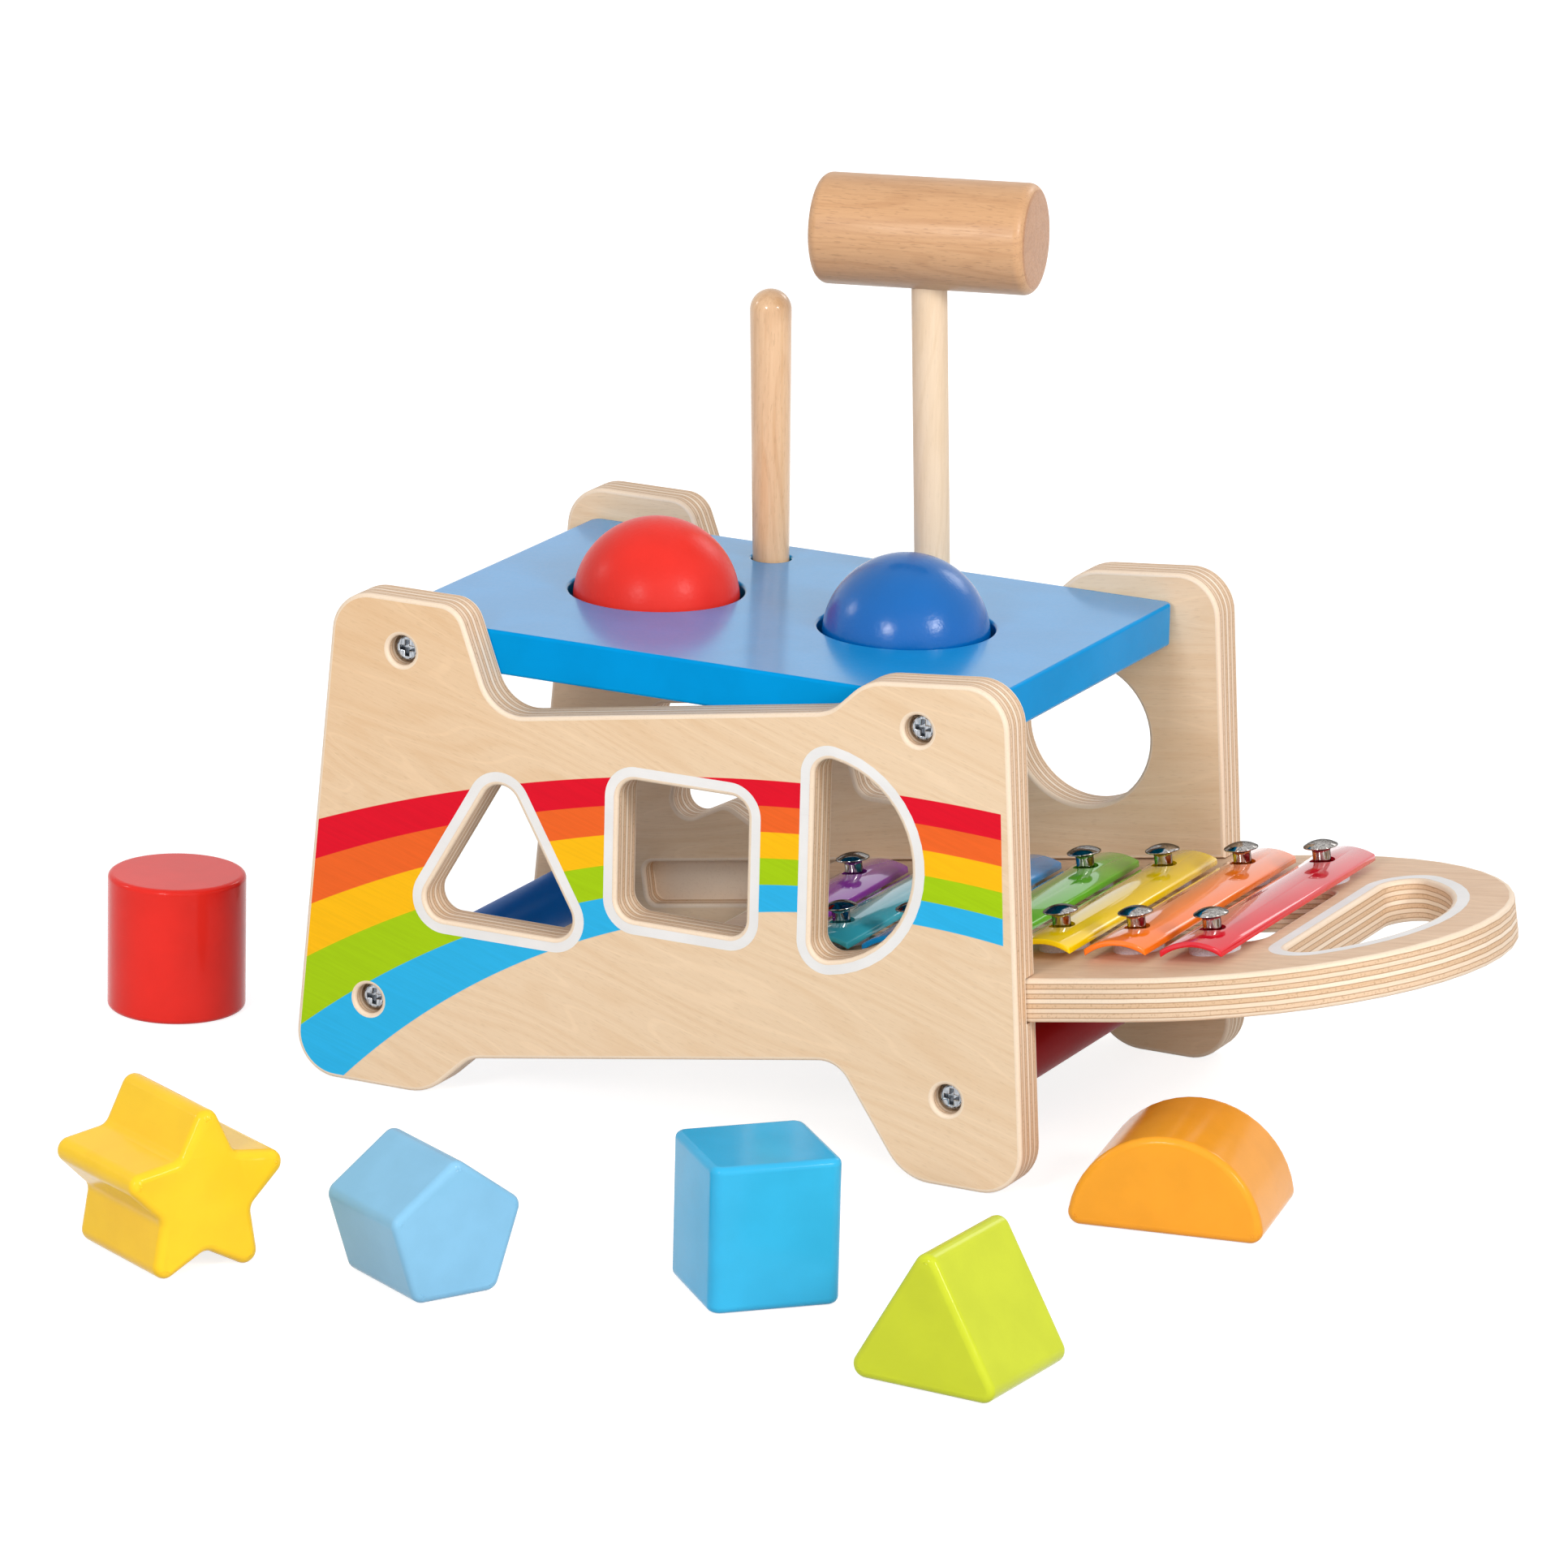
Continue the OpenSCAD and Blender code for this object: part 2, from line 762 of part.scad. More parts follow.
module cylinder_block() {
    color("red")
        on_floor(cylinder_place_shares, 0)
            cylinder(d = round_block_d, h = block_len);
}

module star_block() {
    color("gold")
        on_floor(star_place_shares, star_turn)
            lying_block(block_star, block_len);
}

module pentagon_block() {
    color("lightskyblue")
        on_floor(pentagon_place_shares, pentagon_turn)
            lying_block(block_pentagon, pentagon_block_len);
}

module square_block() {
    color("deepskyblue")
        on_floor(square_place_shares, square_turn + full_turn / 8)
            linear_extrude(block_len)
                polygon(regular(4, square_block_w / sqrt(2), block_r));
}

module triangle_block() {
    color("yellowgreen")
        on_floor(triangle_place_shares, triangle_turn)
            lying_block(block_triangle, block_len);
}

module half_round_block() {
    color("orange")
        on_floor(half_place_shares, half_turn_on_floor)
            lying_block([for (p = block_half) [-p[1], p[0]]], block_len);
}

near_side_panel();
far_side_panel();
top_plate();
left_crossbar();
right_crossbar();
panel_screws();
left_grip_ring();
right_grip_ring();
xylophone_board();
purple_bar();
teal_bar();
blue_bar();
green_bar();
yellow_bar();
orange_bar();
red_bar();
bar_nails();
felt_washers();
red_ball();
blue_ball();
mallet_head();
mallet_handle();
beater_stick();
cylinder_block();
star_block();
pentagon_block();
square_block();
triangle_block();
half_round_block();
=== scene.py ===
"""Looks of the ball pounding bench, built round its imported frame.

Sizes are in millimetres and become metres where a mesh is made. Pattern scales are in features
per millimetre. The frame's axes are the maker's: +X to the end where the xylophone comes out,
+Y to the far side, +Z up.
"""

import logging
import math
from dataclasses import KW_ONLY, dataclass
from enum import Enum, IntEnum
from typing import ClassVar, Iterable, NamedTuple, Optional, Protocol, Sequence, Union

import bmesh
import bpy
from bmesh.types import BMEdge, BMesh, BMFace, BMVert
from bpy.types import Material, Node, NodeSocket, NodeTree, ShaderNodeTree
from mathutils import Color, Euler, Matrix, Vector


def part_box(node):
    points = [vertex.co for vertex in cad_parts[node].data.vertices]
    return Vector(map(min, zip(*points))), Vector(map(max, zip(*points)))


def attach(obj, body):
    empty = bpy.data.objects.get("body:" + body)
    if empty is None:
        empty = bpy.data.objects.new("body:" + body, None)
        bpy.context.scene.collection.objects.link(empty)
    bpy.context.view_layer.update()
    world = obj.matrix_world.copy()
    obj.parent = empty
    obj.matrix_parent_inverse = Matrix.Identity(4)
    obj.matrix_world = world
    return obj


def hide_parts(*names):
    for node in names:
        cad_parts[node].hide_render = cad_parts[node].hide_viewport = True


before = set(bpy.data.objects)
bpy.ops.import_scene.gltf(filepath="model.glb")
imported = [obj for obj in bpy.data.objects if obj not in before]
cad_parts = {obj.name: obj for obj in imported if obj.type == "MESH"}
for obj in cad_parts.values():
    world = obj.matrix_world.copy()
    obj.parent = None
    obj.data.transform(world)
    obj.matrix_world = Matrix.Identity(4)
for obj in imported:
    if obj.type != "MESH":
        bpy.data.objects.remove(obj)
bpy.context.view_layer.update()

LOG = logging.getLogger("pounding_bench")

Triple = tuple[float, float, float]
Span = tuple[float, float]
Colour = tuple[float, float, float, float]
Feed = Union[float, Sequence[float], NodeSocket]
Sockets = bpy.types.bpy_prop_collection

# Sizes that more than one sub-assembly needs
SLOPE = 9.0  # of the board, in degrees
BOARD_H = 36.2  # height of the board's middle layer at X = 0
PLY_T = 12.0
PLY_LAYERS = 9
HALF_W = 75.0  # half the bench's width

# Mesh work
MM = 0.001
JOIN_DIST = 2e-6  # metres within which corners are one
LEVEL_PLAY = 0.01  # how far a face may be off its plane
FACING = 0.999  # least cosine between a face and the way it looks
HOLD = 0.2  # width of the flat rim that keeps a flat face's shading flat
FILM = 0.03  # thickness of a painted line
SOFT_CREASE = 50.0  # crease of pieces with small round walls, in degrees

# Node values
ORIGIN = (0.0, 0.0, 0.0)
WHITE = (1.0, 1.0, 1.0, 1.0)
IN_MM = (1000.0, 1000.0, 1000.0)
RISE = (0.0, 1.0)
FALL = (1.0, 0.0)

# Parts of a noise's range that a finish makes use of
NARROW = (0.3, 0.7)
MIDDLE = (0.25, 0.75)
WIDE = (0.2, 0.8)


class Paint(Enum):
    """Colours of lacquers, enamels, prints and woods, as sRGB bytes."""

    PLATE_BLUE = (0, 146, 214)
    ROD_BLUE = (4, 98, 182)
    ROD_RED = (150, 10, 18)
    BALL_RED = (230, 50, 40)
    BALL_BLUE = (0, 97, 172)
    BLOCK_RED = (238, 44, 34)
    BLOCK_YELLOW = (255, 205, 40)
    BLOCK_PALE_BLUE = (134, 190, 223)
    BLOCK_SKY_BLUE = (54, 176, 223)
    BLOCK_LIME = (199, 208, 46)
    BLOCK_ORANGE = (244, 162, 42)
    STRIPE_RED = (224, 10, 38)
    STRIPE_ORANGE = (238, 100, 36)
    STRIPE_YELLOW = (252, 188, 14)
    STRIPE_GREEN = (164, 202, 10)
    STRIPE_BLUE = (44, 178, 230)
    BORDER_WHITE = (236, 233, 231)
    BAR_PURPLE = (160, 58, 178)
    BAR_TEAL = (72, 196, 212)
    BAR_BLUE = (0, 142, 214)
    BAR_GREEN = (104, 192, 46)
    BAR_YELLOW = (255, 212, 0)
    BAR_ORANGE = (255, 120, 20)
    BAR_RED = (216, 10, 36)
    PLY_PALE = (237, 210, 178)
    PLY_TAN = (227, 193, 155)
    HEART_TINT = (252, 242, 229)
    LAYER_PALE = (248, 230, 208)
    LAYER_TAN = (213, 174, 134)
    GLUE_BROWN = (160, 116, 76)
    BOARD_PALE = (229, 197, 166)
    BOARD_TAN = (212, 174, 140)
    BEECH_PALE = (217, 170, 126)
    BEECH_TAN = (195, 146, 104)
    END_PALE = (198, 146, 105)
    END_TAN = (177, 125, 86)
    BIRCH_PALE = (242, 215, 184)
    BIRCH_TAN = (230, 200, 164)
    STICK_PALE = (236, 194, 150)
    STICK_TAN = (214, 166, 120)
    FELT_WHITE = (232, 231, 238)
    FELT_SHADE = (206, 204, 216)
    RUBBER_BLACK = (28, 28, 30)
    CHROME = (192, 188, 184)
    CHROME_SHADE = (128, 124, 122)
    ZINC = (186, 190, 196)
    ZINC_SHADE = (132, 136, 142)

    def linear(self, lightness: float = 1.0) -> Colour:
        """Gives the colour for a shader socket.

        Args:
            lightness: Factor on the linear colour.

        Returns:
            Linear red, green, blue and an alpha of one.
        """
        tone = Color([byte / 255.0 for byte in self.value]).from_srgb_to_scene_linear()
        red, green, blue = (min(part * lightness, 1.0) for part in tone)
        return (red, green, blue, 1.0)


class Body(Enum):
    """The moving bodies that aren't named after their only piece."""

    BENCH = "bench"
    XYLOPHONE = "xylophone"
    MALLET = "mallet"
    BEATER = "beater"


class Layer(IntEnum):
    """Material places of a plywood piece."""

    EDGE = 0
    INNER = 1
    OUTER = 2
    BORDER = 3


# Node trees


class Graph:
    """Adds nodes to one node tree and joins their sockets."""

    def __init__(self, tree: NodeTree) -> None:
        """Keeps the tree that the nodes go into."""
        self.tree = tree

    def feed(self, socket: NodeSocket, value: Feed) -> None:
        """Links a socket to an input, or sets the input's own value.

        Args:
            socket: The input.
            value: A socket to link, or a value to set.
        """
        if isinstance(value, NodeSocket):
            self.tree.links.new(value, socket)
        else:
            socket.default_value = value

    def add(self, kind: str, inputs: Optional[dict] = None, **settings: object) -> Node:
        """Adds one node.

        Args:
            kind: Blender's name of the node type.
            inputs: Values or sockets by input name or index.
            **settings: The node's own settings.

        Returns:
            The new node.
        """
        node = self.tree.nodes.new(kind)
        for name, value in settings.items():
            setattr(node, name, value)
        for key, value in (inputs or {}).items():
            self.feed(node.inputs[key], value)
        return node

    def math(self, operation: str, a: Feed, b: Feed = 0.0) -> NodeSocket:
        """Adds a Math node and gives its result."""
        return self.add("ShaderNodeMath", {0: a, 1: b}, operation=operation).outputs[0]

    def plus(self, a: Feed, b: Feed) -> NodeSocket:
        """Gives a sum."""
        return self.math("ADD", a, b)

    def minus(self, a: Feed, b: Feed) -> NodeSocket:
        """Gives a difference."""
        return self.math("SUBTRACT", a, b)

    def times(self, a: Feed, b: Feed) -> NodeSocket:
        """Gives a product."""
        return self.math("MULTIPLY", a, b)

    def clamp(self, value: Feed, low: float, high: float) -> NodeSocket:
        """Gives a value held between two limits."""
        return self.add("ShaderNodeClamp", {0: value, 1: low, 2: high}).outputs[0]

    def vector(self, operation: str, a: Feed, b: Feed = ORIGIN) -> Sockets:
        """Adds a Vector Math node and gives its outputs."""
        return self.add("ShaderNodeVectorMath", {0: a, 1: b}, operation=operation).outputs

    def split(self, vector: NodeSocket) -> Sockets:
        """Gives the X, Y and Z sockets of a vector."""
        return self.add("ShaderNodeSeparateXYZ", {0: vector}).outputs

    def mix(self, share: Feed, a: Feed, b: Feed, blend: str = "MIX") -> NodeSocket:
        """Adds a colour Mix node and gives its result."""
        inputs = {0: share, 6: a, 7: b}
        return self.add("ShaderNodeMix", inputs, data_type="RGBA", blend_type=blend).outputs[2]

    def span(self, value: Feed, source: Span, target: Span = RISE) -> NodeSocket:
        """Maps a value smoothly from one span onto another, and holds it at the ends."""
        inputs = dict(enumerate((value, *source, *target)))
        return self.add("ShaderNodeMapRange", inputs, interpolation_type="SMOOTHSTEP").outputs[0]

    def stretched(
        self, vector: Feed, scale: Triple, detail: float = 2.0, bend: float = 0.0
    ) -> NodeSocket:
        """Adds noise that is stretched by a scale per axis.

        Args:
            vector: Place in millimetres.
            scale: Features per millimetre along each axis.
            detail: Noise octaves.
            bend: How much the noise bends itself.

        Returns:
            The noise value.
        """
        place = self.add("ShaderNodeMapping", {"Vector": vector, "Scale": scale}).outputs[0]
        inputs = {"Vector": place, "Scale": 1.0, "Detail": detail, "Distortion": bend}
        return self.add("ShaderNodeTexNoise", inputs).outputs[0]


class Surface(Graph):
    """The node tree of a material, round its Principled shader."""

    def __init__(self, material: Material) -> None:
        """Turns the material's nodes on and keeps its shader.

        Args:
            material: The new material.
        """
        material.use_nodes = True
        super().__init__(material.node_tree)
        self.shader = material.node_tree.nodes["Principled BSDF"]

    def place(self, turn: Triple = ORIGIN, shift: Triple = ORIGIN) -> NodeSocket:
        """Gives the place on the piece in millimetres.

        Args:
            turn: Turn of the pattern in degrees.
            shift: Shift of the pattern in millimetres, after the turn.

        Returns:
            The place's socket.
        """
        inputs = {
            "Vector": self.add("ShaderNodeTexCoord").outputs["Object"],
            "Location": shift,
            "Rotation": tuple(math.radians(angle) for angle in turn),
            "Scale": IN_MM,
        }
        return self.add("ShaderNodeMapping", inputs).outputs[0]

    def put(self, name: str, value: Feed) -> None:
        """Feeds one of the shader's inputs."""
        self.feed(self.shader.inputs[name], value)

    def bump(self, height: Feed, strength: float, depth: float) -> None:
        """Adds fine relief.

        Args:
            height: Relief between nought and one.
            strength: Strength of the relief.
            depth: Depth of the relief in millimetres.
        """
        inputs = {"Strength": strength, "Distance": depth * MM, "Height": height}
        self.put("Normal", self.add("ShaderNodeBump", inputs).outputs[0])


class Effect:
    """A shader node group that several finishes share, built at its first use.

    Attributes:
        built: The groups made so far, by name.
        name: Name of the group.
        inputs: Socket type by input name.
        outputs: Names of the value outputs.
    """

    built: ClassVar[dict[str, ShaderNodeTree]] = {}
    name: ClassVar[str]
    inputs: ClassVar[dict[str, str]] = {"Vector": "NodeSocketVector"}
    outputs: ClassVar[tuple[str, ...]]

    @classmethod
    def place(cls, graph: Graph, **inputs: Feed) -> Sockets:
        """Places the group in a material.

        Args:
            graph: The material's graph.
            **inputs: Values or sockets by input name.

        Returns:
            The group's output sockets.
        """
        if cls.name not in cls.built:
            cls.built[cls.name] = cls.build()
        return graph.add("ShaderNodeGroup", inputs, node_tree=cls.built[cls.name]).outputs

    @classmethod
    def build(cls) -> ShaderNodeTree:
        """Builds the group with its sockets.

        Returns:
            The group's node tree.
        """
        tree = bpy.data.node_groups.new(cls.name, "ShaderNodeTree")
        for label, kind in cls.inputs.items():
            tree.interface.new_socket(name=label, in_out="INPUT", socket_type=kind)
        for label in cls.outputs:
            tree.interface.new_socket(name=label, in_out="OUTPUT", socket_type="NodeSocketFloat")
        graph = Graph(tree)
        source = graph.add("NodeGroupInput").outputs
        sink = graph.add("NodeGroupOutput").inputs
        for label, value in cls.fill(graph, source).items():
            graph.feed(sink[label], value)
        return tree

    @classmethod
    def fill(cls, graph: Graph, source: Sockets) -> dict[str, NodeSocket]:
        """Gives what each output puts out, by name; each effect has its own way."""
        raise NotImplementedError


class WoodGrain(Effect):
    """Grain along X: slow figure, fine fibres, short dark pores and thin pale lines."""

    name = "wood_grain"
    outputs = ("Figure", "Fibre", "Pores", "Lines")

    FLOW_SCALE = (0.005, 0.03, 0.03)
    FLOW_BEND = 0.4
    BANDS = 110.0  # radians of the figure's wave over the flow's range
    BAND_SPAN = (0.1, 1.0)
    LINE_SPAN = (-1.0, -0.92)
    BROAD_SCALE = (0.012, 0.05, 0.05)
    FEATHER_SCALE = (0.1, 0.7, 0.7)
    FIGURE_SHARE = 0.6
    FIBRE_SCALE = (0.07, 1.5, 1.5)
    PORE_SCALE = (0.32, 2.6, 2.6)
    PORE_SPAN = (0.58, 0.72)

    @classmethod
    def fill(cls, graph: Graph, source: Sockets) -> dict[str, NodeSocket]:
        """Gives the figure, fibres, pores and lines.

        Args:
            graph: The group's nodes.
            source: The group's inputs.

        Returns:
            Each output's socket, by name.
        """
        place = source["Vector"]
        flow = graph.stretched(place, cls.FLOW_SCALE, bend=cls.FLOW_BEND)
        wave = graph.math("SINE", graph.times(flow, cls.BANDS))
        feather = graph.stretched(place, cls.FEATHER_SCALE, detail=3.0)
        veined = graph.times(graph.span(wave, cls.BAND_SPAN), feather)
        broad = graph.stretched(place, cls.BROAD_SCALE)
        return {
            "Figure": graph.times(graph.plus(veined, broad), cls.FIGURE_SHARE),
            "Fibre": graph.stretched(place, cls.FIBRE_SCALE, detail=3.0),
            "Pores": graph.span(graph.stretched(place, cls.PORE_SCALE, detail=1.0), cls.PORE_SPAN),
            "Lines": graph.times(graph.span(wave, cls.LINE_SPAN, FALL), feather),
        }


class PlyLayers(Effect):
    """Veneers of a plywood edge, counted along Z from one face."""

    name = "ply_layers"
    outputs = ("Tone", "Glue", "Fleck")

    WANDER_SCALE = (0.03, 0.03, 0.03)
    WANDER = 0.35  # how far the layers wander, in millimetres
    STREAK_SCALE = (0.05, 0.05, 3.0)
    CROSS_TONE = 0.5  # how much darker the layers are whose grain runs across
    CHANCE_TONE = 0.25
    STREAK_TONE = 0.3
    SEAM_SPAN = (0.04, 0.17)  # share of a layer from a seam's middle to its end
    FACE_SPAN = (0.3, 0.6)  # layers from a face at which seams start and are full
    SPECKLE_SCALE = (1.6, 1.6, 1.6)
    SPECKLE_SPAN = (0.5, 0.75)
    LONG_FLECK = 0.25  # flecks of the layers whose grain runs along, beside the others'

    @classmethod
    def fill(cls, graph: Graph, source: Sockets) -> dict[str, NodeSocket]:
        """Gives the layers' tone, their glue lines and their flecks.

        Args:
            graph: The group's nodes.
            source: The group's inputs.

        Returns:
            Each output's socket, by name.
        """
        place = source["Vector"]
        wander = graph.minus(graph.stretched(place, cls.WANDER_SCALE), 0.5)
        depth = graph.plus(graph.split(place)[2], graph.times(wander, cls.WANDER))
        count = graph.times(depth, PLY_LAYERS / PLY_T)
        index = graph.clamp(graph.math("FLOOR", count), 0.0, PLY_LAYERS - 1.0)
        cross = graph.math("MODULO", index, 2.0)
        dice = graph.add("ShaderNodeTexWhiteNoise", {"W": index}, noise_dimensions="1D")
        streak = graph.stretched(place, cls.STREAK_SCALE)
        chance = graph.times(dice.outputs["Value"], cls.CHANCE_TONE)
        tone = graph.plus(graph.times(cross, cls.CROSS_TONE), chance)
        streaked = graph.plus(tone, graph.times(streak, cls.STREAK_TONE))
        seam = graph.span(graph.math("PINGPONG", count, 0.5), cls.SEAM_SPAN, FALL)
        from_face = graph.math("MINIMUM", count, graph.minus(float(PLY_LAYERS), count))
        speckle = graph.span(graph.stretched(place, cls.SPECKLE_SCALE), cls.SPECKLE_SPAN)
        return {
            "Tone": graph.clamp(streaked, 0.0, 1.0),
            "Glue": graph.times(seam, graph.span(from_face, cls.FACE_SPAN)),
            "Fleck": graph.times(speckle, graph.plus(cross, cls.LONG_FLECK)),
        }


class LacquerSkin(Effect):
    """Sprayed lacquer: cloudy tone and a fine orange peel."""

    name = "lacquer_skin"
    outputs = ("Cloud", "Peel")

    CLOUD_SCALE = (0.07, 0.07, 0.07)
    PEEL_SCALE = (0.9, 0.9, 0.9)

    @classmethod
    def fill(cls, graph: Graph, source: Sockets) -> dict[str, NodeSocket]:
        """Gives the clouds and the peel.

        Args:
            graph: The group's nodes.
            source: The group's inputs.

        Returns:
            Each output's socket, by name.
        """
        return {
            "Cloud": graph.stretched(source["Vector"], cls.CLOUD_SCALE, detail=4.0),
            "Peel": graph.stretched(source["Vector"], cls.PEEL_SCALE, detail=3.0),
        }


class ArcInside(Effect):
    """Mask of the inside of an upright circle that lies in the XZ plane."""

    name = "arc_inside"
    inputs = {
        "Vector": "NodeSocketVector",
        "Centre": "NodeSocketVector",
        "Radius": "NodeSocketFloat",
    }
    outputs = ("Inside",)

    UPRIGHT = (1.0, 0.0, 1.0)
    BLUR_SPAN = (-0.12, 0.12)

    @classmethod
    def fill(cls, graph: Graph, source: Sockets) -> dict[str, NodeSocket]:
        """Gives the mask.

        Args:
            graph: The group's nodes.
            source: The group's inputs.

        Returns:
            Each output's socket, by name.
        """
        offset = graph.vector("SUBTRACT", source["Vector"], source["Centre"])[0]
        upright = graph.vector("MULTIPLY", offset, cls.UPRIGHT)[0]
        past = graph.minus(graph.vector("LENGTH", upright)["Value"], source["Radius"])
        return {"Inside": graph.span(past, cls.BLUR_SPAN, FALL)}


# Finishes


class Look(NamedTuple):
    """What a finish's own patterns give its shader.

    Attributes:
        colour: The colour.
        wear: Pattern that the roughness follows.
        wear_span: Part of that pattern's range that counts.
        height: Pattern of the relief.
    """

    colour: NodeSocket
    wear: NodeSocket
    wear_span: Span
    height: NodeSocket


@dataclass(frozen=True)
class Finish:
    """A surface finish that builds its material once.

    Attributes:
        built: The materials made so far, by name.
        name: Name of the material.
        turn: Turn of the pattern in degrees, after scaling to millimetres.
        shift: Shift of the pattern in millimetres, after the turn.
        rough: Least and greatest roughness.
        gloss: Strength of the mirror.
        coat: Weight of a clear coat.
        coat_rough: Roughness of that coat.
        relief: Strength of the relief.
        depth: Depth of the relief.
    """

    built: ClassVar[dict[str, Material]] = {}

    name: str
    turn: Triple = ORIGIN
    shift: Triple = ORIGIN
    _: KW_ONLY
    rough: Span
    gloss: float = 0.5
    coat: float = 0.0
    coat_rough: float = 0.03
    relief: float
    depth: float = 0.1

    def material(self) -> Material:
        """Gives the finish's material, made at its first use.

        Returns:
            The material.
        """
        if self.name not in self.built:
            self.built[self.name] = bpy.data.materials.new(self.name)
            self.dress(Surface(self.built[self.name]))
        return self.built[self.name]

    def dress(self, surface: Surface) -> None:
        """Feeds the shader with the finish's look.

        Args:
            surface: The material's nodes.
        """
        look = self.look(surface, surface.place(self.turn, self.shift))
        surface.put("Base Color", look.colour)
        surface.put("Roughness", surface.span(look.wear, look.wear_span, self.rough))
        surface.put("Specular IOR Level", self.gloss)
        surface.put("Coat Weight", self.coat)
        surface.put("Coat Roughness", self.coat_rough)
        surface.bump(look.height, self.relief, self.depth)

    def look(self, surface: Surface, place: NodeSocket) -> Look:
        """Gives the look; each finish has its own."""
        raise NotImplementedError


@dataclass(frozen=True, kw_only=True)
class Wood(Finish):
    """Clear-lacquered wood with its grain along the turned X axis.

    Attributes:
        pale: Light colour.
        tan: Dark colour.
        tone_span: Part of the grain's range over which the colour goes from light to dark.
        pores: Strength of the pores.
        pore_tone: Lightness of the pores beside the dark colour's.
    """

    pale: Paint
    tan: Paint
    tone_span: Span
    pores: float
    pore_tone: float

    def grained(self, surface: Surface, place: NodeSocket) -> tuple[NodeSocket, Sockets]:
        """Gives the wood's colour and its grain.

        Args:
            surface: The material's nodes.
            place: Place on the piece in millimetres, turned and shifted.

        Returns:
            The colour's socket and the grain's outputs.
        """
        grain = WoodGrain.place(surface, Vector=place)
        tone = surface.times(surface.plus(grain["Figure"], grain["Fibre"]), 0.5)
        share = surface.span(tone, self.tone_span)
        colour = surface.mix(share, self.pale.linear(), self.tan.linear())
        dark = self.tan.linear(self.pore_tone)
        return surface.mix(surface.times(grain["Pores"], self.pores), colour, dark), grain


@dataclass(frozen=True, kw_only=True)
class SolidWood(Wood):
    """Turned solid wood."""

    pale: Paint = Paint.BEECH_PALE
    tan: Paint = Paint.BEECH_TAN
    tone_span: Span = (0.1, 0.9)
    pores: float = 0.55
    pore_tone: float = 0.78
    rough: Span = (0.3, 0.45)
    gloss: float = 0.4
    coat_rough: float = 0.08
    relief: float = 0.1

    def look(self, surface: Surface, place: NodeSocket) -> Look:
        """Gives solid wood with sunk pores.

        Args:
            surface: The material's nodes.
            place: Place on the piece in millimetres, turned and shifted.

        Returns:
            The look.
        """
        colour, grain = self.grained(surface, place)
        height = surface.minus(grain["Fibre"], grain["Pores"])
        return Look(colour, grain["Fibre"], WIDE, height)


@dataclass(frozen=True, kw_only=True)
class PlyFace(Wood):
    """Satin face veneer with thin pale lines.

    Attributes:
        lines: Strength of the lines.
        line_tone: Lightness of the lines beside the light colour's.
    """

    pale: Paint = Paint.PLY_PALE
    tan: Paint = Paint.PLY_TAN
    tone_span: Span = (0.1, 0.95)
    pores: float = 0.32
    pore_tone: float = 0.84
    rough: Span = (0.42, 0.56)
    gloss: float = 0.3
    relief: float = 0.08
    lines: float = 0.5
    line_tone: float = 1.12

    def look(self, surface: Surface, place: NodeSocket) -> Look:
        """Gives veneer with its fibres.

        Args:
            surface: The material's nodes.
            place: Place on the piece in millimetres, turned and shifted.

        Returns:
            The look.
        """
        colour, grain = self.grained(surface, place)
        share = surface.times(grain["Lines"], self.lines)
        lined = surface.mix(share, colour, self.pale.linear(self.line_tone))
        return Look(lined, grain["Fibre"], WIDE, grain["Fibre"])


